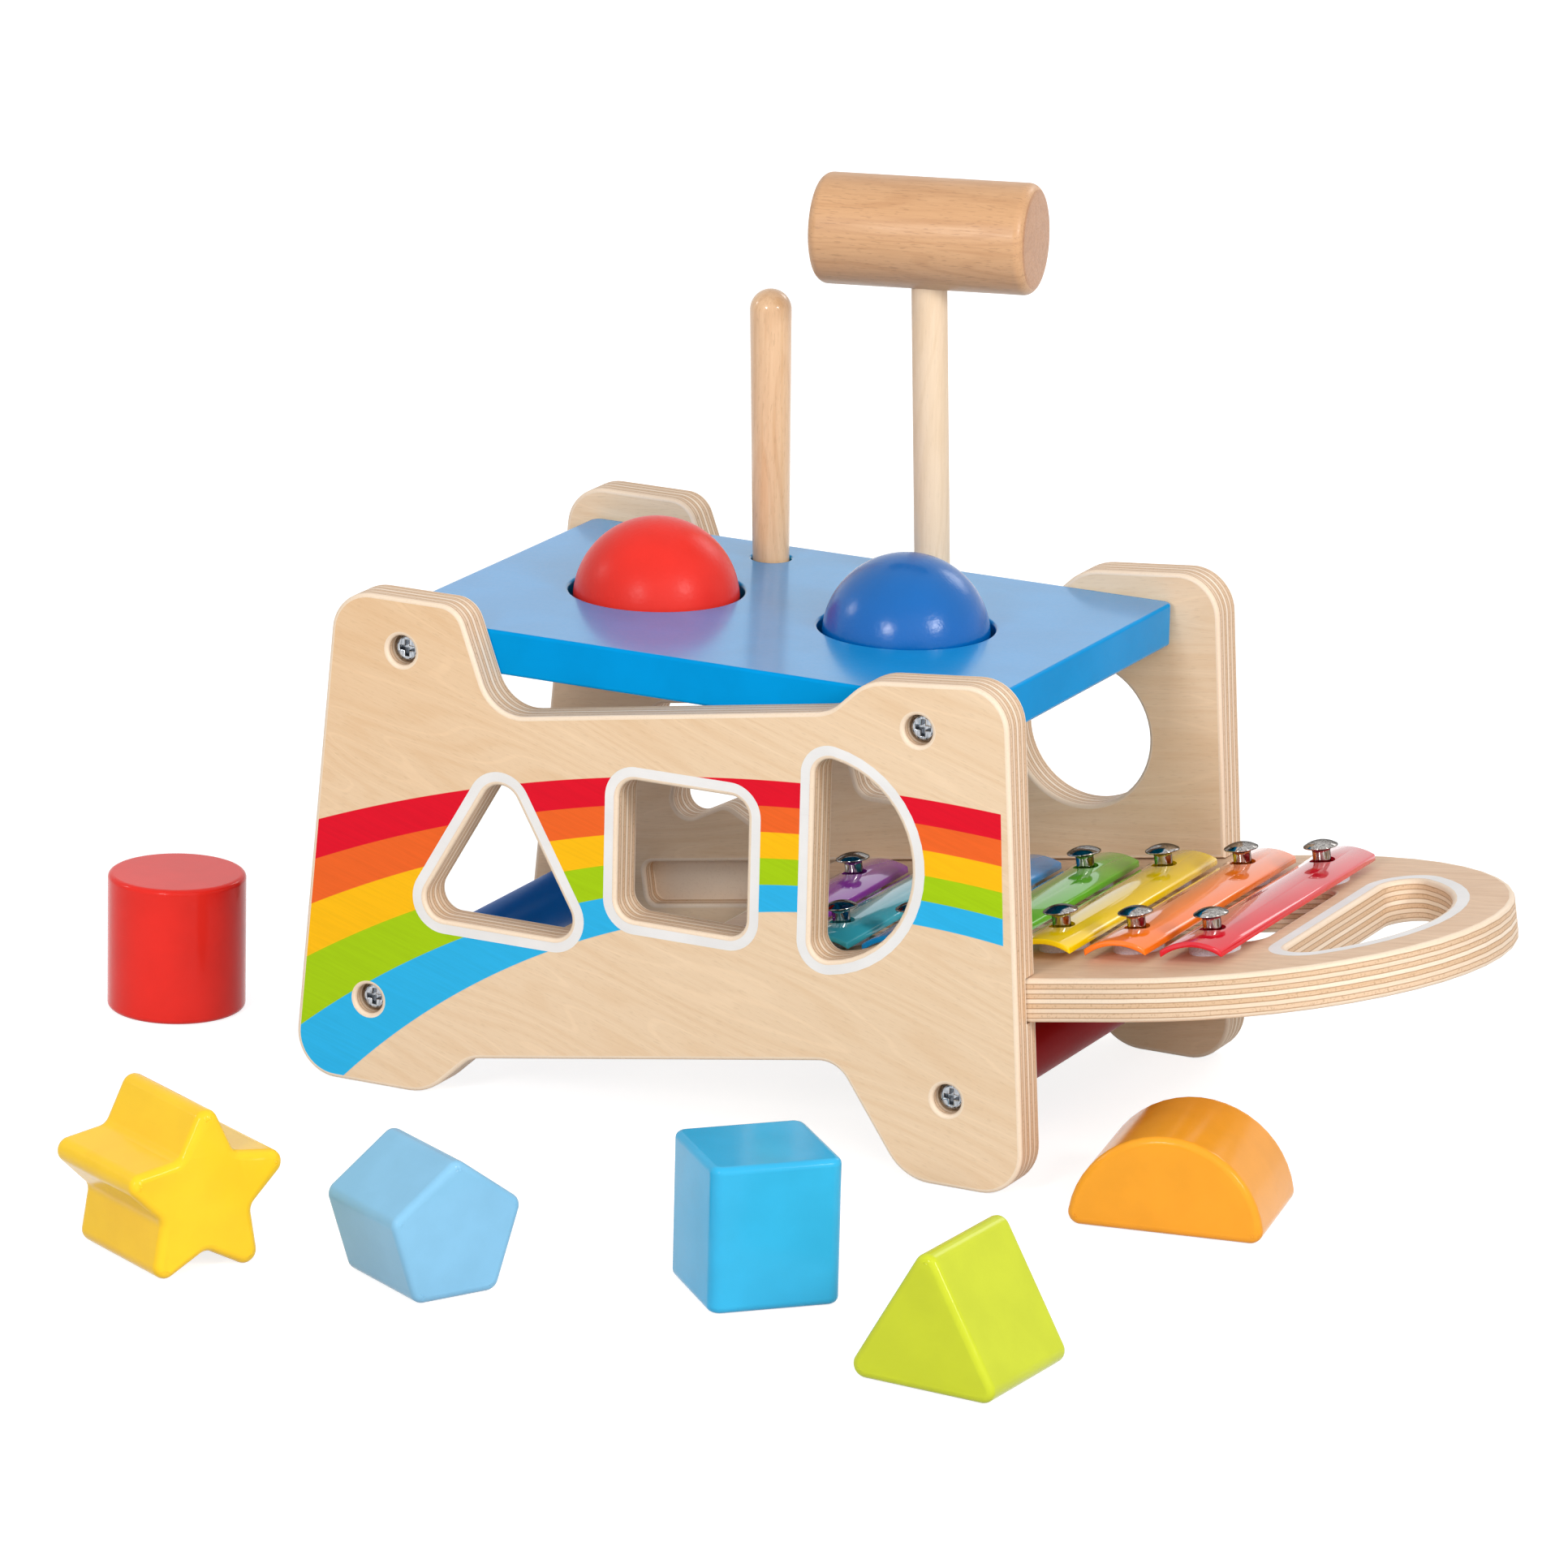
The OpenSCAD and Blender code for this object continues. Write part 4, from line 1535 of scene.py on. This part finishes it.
@dataclass
class Xylophone:
    """The sliding board with bars, nails and felt washers.

    Attributes:
        edge_r: Radius of the board's edges.
        border_w: Width of the white line round the handle slot.
        slot_span: Least and greatest width of the handle slot's edge.
        under_shift: Shift of the veneer under the board.
        top_turn: Turn of the top veneer in its own plane, in degrees.
        top_shift: Shift of the top veneer.
        bar_edge: Width of the rounding of the bars' edges.
        bar_flat: Angle up to which a bar's faces are one, in degrees.
        rim_angle: Least angle of a bar's outline, in degrees.
        hole_reach: Distance from a nail within which a bar's edges stay as they are.
        first_bar_x: Distance to the first and longest bar along the slope.
        bar_pitch: Distance between the bars.
        bars: Word and colour of each bar, from the longest down.
        nail_spread: Distance of the first bar's nails from the middle line.
        nail_step: How much closer each next bar's nails stand.
        nail_profile: Radius and height of a nail's outline, from below.
        nail_rounds: Rounding at each point of that outline.
        nail_turns: Steps of a nail's full turn.
    """

    edge_r: float = 1.2
    border_w: float = 3.4
    slot_span: Span = (20.0, 60.0)
    under_shift: Triple = (300.0, 0.0, 0.0)
    top_turn: float = 4.0
    top_shift: Triple = (40.0, 90.0, 0.0)
    bar_edge: float = 0.4
    bar_flat: float = 0.4
    rim_angle: float = 45.0
    hole_reach: float = 5.5
    first_bar_x: float = 152.7
    bar_pitch: float = 23.1
    bars: tuple[tuple[str, Paint], ...] = (
        ("red", Paint.BAR_RED), ("orange", Paint.BAR_ORANGE), ("yellow", Paint.BAR_YELLOW),
        ("green", Paint.BAR_GREEN), ("blue", Paint.BAR_BLUE), ("teal", Paint.BAR_TEAL),
        ("purple", Paint.BAR_PURPLE),
    )
    nail_spread: float = 37.3
    nail_step: float = 1.8
    nail_profile: tuple[Span, ...] = (
        (0.0, -8.5), (2.5, -8.5), (2.5, 9.1), (3.2, 9.7), (4.8, 9.9), (4.8, 10.3),
        (3.1, 11.25), (1.4, 11.7), (0.0, 11.8),
    )
    nail_rounds: tuple[float, ...] = (0.0, 0.3, 0.5, 0.3, 0.12, 0.15, 0.6, 0.4, 0.0)
    nail_turns: int = 32

    def build(self) -> None:
        """Builds all pieces of the xylophone."""
        self.build_board()
        for count, (word, paint) in enumerate(self.bars):
            self.build_bar(count, word, paint)
        self.build_nails()
        self.build_felts()

    def build_board(self) -> None:
        """Builds the board with eased edges and the line round its handle slot."""
        up = on_slope().to_3x3() @ Vector((0.0, 0.0, 1.0))
        bm = plywood("xylophone_board", up, self.edge_r, self.border_w, self.slot_span)
        under = PLY_T / 2.0 - BOARD_H * math.cos(math.radians(SLOPE))
        lie = (0.0, SLOPE, 0.0)
        finishes = (
            PlyEdge("board_edge", lie, (0.0, 0.0, under)),
            PlyFace("board_under_veneer", lie, self.under_shift),
            PlyFace(
                "board_top_veneer", (0.0, SLOPE, self.top_turn), self.top_shift,
                pale=Paint.BOARD_PALE, tan=Paint.BOARD_TAN,
            ),
            LINE_PAINT,
        )
        Piece("board", Body.XYLOPHONE.value, "xylophone_board", "plywood", finishes).make(bm)

    def nail_place(self, count: int, side: float) -> Vector:
        """Gives a nail's place on the board's top, in metres on the slope.

        Args:
            count: Number of the bar, from the longest.
            side: -1 for the near end, 1 for the far end.

        Returns:
            The place.
        """
        x = self.first_bar_x - count * self.bar_pitch
        y = side * (self.nail_spread - count * self.nail_step)
        return Vector((x, y, PLY_T / 2.0)) * MM

    def build_bar(self, count: int, word: str, paint: Paint) -> None:
        """Builds one enamelled bar with rounded edges.

        Args:
            count: Number of the bar, from the longest.
            word: Word that its names start with.
            paint: Its colour.
        """
        node = f"{word}_bar"
        bm = solid_copy(node)
        bmesh.ops.dissolve_limit(
            bm, angle_limit=math.radians(self.bar_flat), verts=bm.verts[:], edges=bm.edges[:]
        )
        nails = [on_slope() @ self.nail_place(count, side) for side in (-1.0, 1.0)]

        def is_rim(edge: BMEdge) -> bool:
            """Says whether an edge belongs to the bar's outline.

            Args:
                edge: An edge of the bar.

            Returns:
                True for the outline's edges.
            """
            middle = (edge.verts[0].co + edge.verts[1].co) / 2.0
            away = min((middle - nail).to_2d().length for nail in nails) / MM
            sharp = edge.calc_face_angle(0.0) > math.radians(self.rim_angle)
            return sharp and away > self.hole_reach

        bmesh.ops.bevel(
            bm, geom=[e for e in bm.edges if is_rim(e)], offset=self.bar_edge * MM,
            offset_type="OFFSET", affect="EDGES", segments=3, profile=0.5, material=-1,
            clamp_overlap=True,
        )
        finish = Enamel(f"{word}_bar_enamel", paint=paint)
        name = f"{word}_sound_bar"
        Piece(name, Body.XYLOPHONE.value, node, f"{word}_enamel", (finish,)).make(bm)

    def build_nails(self) -> None:
        """Turns a mushroom-head nail for each end of each bar."""
        whole = bmesh.new()
        for count in range(len(self.bars)):
            for side in (-1.0, 1.0):
                nail = turned(self.nail_profile, self.nail_rounds, self.nail_turns)
                place = on_slope() @ Matrix.Translation(self.nail_place(count, side))
                bmesh.ops.transform(nail, matrix=place, verts=nail.verts[:])
                holder = bpy.data.meshes.new("nail")
                nail.to_mesh(holder)
                nail.free()
                whole.from_mesh(holder)
                bpy.data.meshes.remove(holder)
        finish = Metal(
            "nail_plating", paint=Paint.CHROME, shade=Paint.CHROME_SHADE, rough=(0.05, 0.15)
        )
        body = Body.XYLOPHONE.value
        Piece("nails", body, "bar_nails", "nail_chrome", (finish,), SOFT_CREASE).make(whole)

    def build_felts(self) -> None:
        """Builds the felt washers under the bars."""
        finish = Felt("wool_felt")
        body = Body.XYLOPHONE.value
        Piece("felts", body, "felt_washers", "felt", (finish,), SOFT_CREASE).make()


@dataclass
class Sticks:
    """The mallet and the beater.

    Attributes:
        head_turn: Turn of the mallet's head about its handle, in degrees.
        head_shift: Shift of the head's grain.
        end_lean: Least cosine between the head's axis and a face of its end grain.
        upright: Turn that lays the grain of a stick upright.
        handle_shift: Shift of the handle's grain.
        beater_shift: Shift of the beater's grain.
    """

    head_turn: float = 9.0
    head_shift: Triple = (30.0, 12.0, 70.0)
    end_lean: float = 0.9
    upright: Triple = (0.0, 90.0, 0.0)
    handle_shift: Triple = (0.0, 30.0, 50.0)
    beater_shift: Triple = (110.0, 10.0, 20.0)

    def build(self) -> None:
        """Builds head, handle and beater."""
        self.build_head()
        self.build_handle()
        self.build_beater()

    def build_head(self) -> None:
        """Builds the mallet's head, with darker end grain."""
        lie = ((0.0, 0.0, -self.head_turn), self.head_shift)
        side = SolidWood("mallet_beech", *lie)
        end = SolidWood("mallet_end_grain", *lie, pale=Paint.END_PALE, tan=Paint.END_TAN)
        turn = Matrix.Rotation(math.radians(self.head_turn), 3, "Z")
        axis = turn @ Vector((1.0, 0.0, 0.0))
        bm = solid_copy("mallet_head")
        for face in bm.faces:
            face.material_index = int(abs(face.normal.dot(axis)) > self.end_lean)
        Piece("mallet_top", Body.MALLET.value, "mallet_head", "beech", (side, end)).make(bm)

    def build_handle(self) -> None:
        """Builds the mallet's handle."""
        finish = SolidWood(
            "handle_birch", self.upright, self.handle_shift, pale=Paint.BIRCH_PALE,
            tan=Paint.BIRCH_TAN, pores=0.15, rough=(0.37, 0.52),
        )
        Piece("mallet_shaft", Body.MALLET.value, "mallet_handle", "birch", (finish,)).make()

    def build_beater(self) -> None:
        """Builds the beater, with more gloss."""
        finish = SolidWood(
            "beater_beech", self.upright, self.beater_shift, pale=Paint.STICK_PALE,
            tan=Paint.STICK_TAN, pores=0.35, coat=0.7,
        )
        Piece("beater", Body.BEATER.value, "beater_stick", "beech", (finish,)).make()


@dataclass
class Block:
    """A loose lacquered block with rounded end edges.

    Attributes:
        node: CAD node, which is also its body.
        paint: Its colour.
        slot: The record's material slot.
        turn: Turn on the floor of a block that lies, in degrees, or None for one that stands.
        edge_r: Radius of its end edges.
        grain_turn: Turn of its grain, in degrees.
    """

    node: str
    paint: Paint
    slot: str
    turn: Optional[float] = None
    edge_r: float = 1.8
    grain_turn: float = 25.0

    def axis(self) -> Vector:
        """Gives the direction from end to end.

        Returns:
            A unit vector.
        """
        if self.turn is None:
            return Vector((0.0, 0.0, 1.0))
        angle = math.radians(self.turn)
        return Vector((-math.sin(angle), math.cos(angle), 0.0))

    def build(self) -> None:
        """Builds the block from its solid."""
        bm = solid_copy(self.node)
        for way in (1.0, -1.0):
            round_rim(bm, self.axis() * way, self.edge_r)
        finish = Lacquer(
            f"{self.node}_lacquer", (0.0, 0.0, self.grain_turn), paint=self.paint,
            rough=(0.14, 0.2), grain=0.03, gloss=0.17, relief=0.25,
        )
        Piece(f"lacquered_{self.node}", self.node, self.node, self.slot, (finish,)).make(bm)


# Studio


@dataclass
class Softbox:
    """One square soft lamp.

    Attributes:
        name: Its name.
        azimuth: Direction from the front towards the right, in degrees.
        elevation: Height above the floor's plane, in degrees.
        distance: Distance from the bench in metres.
        size: Width in metres.
        power: Power in watts.
        mirrored: Whether glossy surfaces mirror it.
    """

    name: str
    azimuth: float
    elevation: float
    distance: float
    size: float
    power: float
    mirrored: bool = True

    def hang(self, aim: Vector) -> None:
        """Hangs the lamp and aims it at a point.

        Args:
            aim: The point, in metres.
        """
        lamp = bpy.data.lights.new(self.name, "AREA")
        lamp.shape = "SQUARE"
        lamp.size = self.size
        lamp.energy = self.power
        around, above = math.radians(self.azimuth), math.radians(self.elevation)
        level = Vector((math.sin(around), -math.cos(around), 0.0)) * math.cos(above)
        way = level + Vector((0.0, 0.0, math.sin(above)))
        made = bpy.data.objects.new(self.name, lamp)
        made.location = aim + way * self.distance
        made.visible_glossy = self.mirrored
        made.rotation_euler = way.to_track_quat("Z", "Y").to_euler()
        bpy.context.scene.collection.objects.link(made)


@dataclass
class Studio:
    """Floor, light and camera.

    Attributes:
        camera_place: Camera's place in metres.
        camera_turn: Camera's turn in degrees.
        lens: Focal length.
        sensor: Width of the camera's frame.
        sight: How far the camera sees, in metres.
        floor_size: Half the floor's width in metres.
        floor_gap: How far the floor lies under the feet.
        floor_grey: The floor's colour.
        floor_rough: The floor's roughness.
        floor_glow: Light that the floor shows to the camera by itself.
        ambient: Strength of the sky on matt surfaces.
        aim: Point that the lamps look at, in metres.
        lamps: The soft lamps.
    """

    camera_place: Triple = (1.03110, -2.10548, 0.74946)
    camera_turn: Triple = (74.0758748, -1.35559847, 26.42651296)
    lens: float = 201.7288
    sensor: float = 36.0
    sight: float = 50.0
    floor_size: float = 6.0
    floor_gap: float = 0.2
    floor_grey: Colour = (0.5, 0.5, 0.5, 1.0)
    floor_rough: float = 0.9
    floor_glow: float = 0.8
    ambient: float = 0.48
    aim: Triple = (0.03, -0.04, 0.08)
    lamps: tuple[Softbox, ...] = (
        Softbox("front_left_softbox", -2.0, 24.0, 1.7, 0.3, 7.8),
        Softbox("front_right_softbox", 71.0, 27.5, 1.7, 0.3, 9.0),
        Softbox("left_softbox", -75.0, 26.0, 1.7, 0.24, 2.0),
        Softbox("back_softbox", 168.0, 30.0, 1.7, 0.5, 2.5),
        Softbox("front_fill", 42.0, 26.0, 2.2, 1.6, 18.5, mirrored=False),
        Softbox("back_fill", 195.0, 15.0, 2.2, 1.6, 8.0, mirrored=False),
    )

    def build(self) -> None:
        """Builds the studio."""
        self.build_camera()
        self.build_floor()
        self.build_sky()
        for lamp in self.lamps:
            lamp.hang(Vector(self.aim))
        bpy.context.scene.view_settings.view_transform = "Standard"

    def build_camera(self) -> None:
        """Sets the camera at the photograph's viewpoint."""
        view = bpy.data.cameras.new("viewpoint")
        view.lens = self.lens
        view.sensor_width = self.sensor
        view.clip_end = self.sight
        made = bpy.data.objects.new("viewpoint", view)
        made.location = self.camera_place
        made.rotation_euler = Euler([math.radians(angle) for angle in self.camera_turn], "XYZ")
        bpy.context.scene.collection.objects.link(made)
        bpy.context.scene.camera = made

    @staticmethod
    def seen(graph: Graph) -> NodeSocket:
        """Gives the mask of rays from the camera, from mirrors and through glass.

        Args:
            graph: Nodes of the floor's material or of the world.

        Returns:
            The mask's socket.
        """
        rays = graph.add("ShaderNodeLightPath").outputs
        mirrored = graph.math("MAXIMUM", rays["Is Glossy Ray"], rays["Is Transmission Ray"])
        return graph.math("MAXIMUM", rays["Is Camera Ray"], mirrored)

    def build_floor(self) -> None:
        """Lays the pale floor just under the feet."""
        bm = bmesh.new()
        bmesh.ops.create_grid(bm, x_segments=1, y_segments=1, size=self.floor_size)
        bmesh.ops.translate(bm, verts=bm.verts[:], vec=(0.0, 0.0, -self.floor_gap * MM))
        mesh = bpy.data.meshes.new("floor")
        bm.to_mesh(mesh)
        bm.free()
        made = bpy.data.materials.new("pale_floor")
        surface = Surface(made)
        surface.put("Base Color", self.floor_grey)
        surface.put("Roughness", self.floor_rough)
        surface.put("Specular IOR Level", 0.0)
        surface.put("Emission Color", WHITE)
        surface.put("Emission Strength", surface.times(self.seen(surface), self.floor_glow))
        mesh.materials.append(made)
        floor = bpy.data.objects.new("floor", mesh)
        bpy.context.scene.collection.objects.link(floor)

    def build_sky(self) -> None:
        """Makes the white surroundings."""
        world = bpy.data.worlds.new("white_studio")
        world.use_nodes = True
        bpy.context.scene.world = world
        graph = Graph(world.node_tree)
        sky = world.node_tree.nodes["Background"]
        graph.feed(sky.inputs["Color"], WHITE)
        share = graph.times(self.seen(graph), 1.0 - self.ambient)
        graph.feed(sky.inputs["Strength"], graph.plus(share, self.ambient))


def panels() -> list[SidePanel]:
    """Gives the near panel with its print and the plain far panel.

    Returns:
        The two panels.
    """
    rainbow = RainbowFace("rainbow_veneer", turn=(90.0, 0.0, -17.0), shift=(60.0, 20.0, 0.0))
    plain = PlyFace("far_panel_outer_veneer", turn=(90.0, 0.0, 10.0), shift=(220.0, 90.0, 0.0))
    return [
        SidePanel("near_panel", "near_side_panel", -1, rainbow, border_w=2.7),
        SidePanel("far_panel", "far_side_panel", 1, plain),
    ]


def balls() -> list[Ball]:
    """Gives the two balls; the blue one has more gloss."""
    return [
        Ball("red_ball", Paint.BALL_RED, "red_lacquer", gloss=0.16),
        Ball("blue_ball", Paint.BALL_BLUE, "ball_blue_lacquer", rough=(0.2, 0.26), gloss=0.36),
    ]


def blocks() -> list[Block]:
    """Gives the six loose blocks as they lie on the floor."""
    return [
        Block("cylinder_block", Paint.BLOCK_RED, "red_lacquer", edge_r=1.4),
        Block("star_block", Paint.BLOCK_YELLOW, "yellow_lacquer", turn=61.5, edge_r=2.2),
        Block("pentagon_block", Paint.BLOCK_PALE_BLUE, "pale_blue_lacquer", turn=60.4),
        Block("square_block", Paint.BLOCK_SKY_BLUE, "sky_blue_lacquer"),
        Block("triangle_block", Paint.BLOCK_LIME, "lime_lacquer", turn=-3.8),
        Block("half_round_block", Paint.BLOCK_ORANGE, "orange_lacquer", turn=10.3),
    ]


def main() -> None:
    """Builds every sub-assembly in order."""
    logging.basicConfig(level=logging.INFO, format="%(name)s %(message)s")
    parts: list[SubAssembly] = [
        Studio(), *panels(), BenchFrame(), *balls(), Xylophone(), Sticks(), *blocks()
    ]
    for part in parts:
        part.build()


if __name__ == "__main__":
    main()
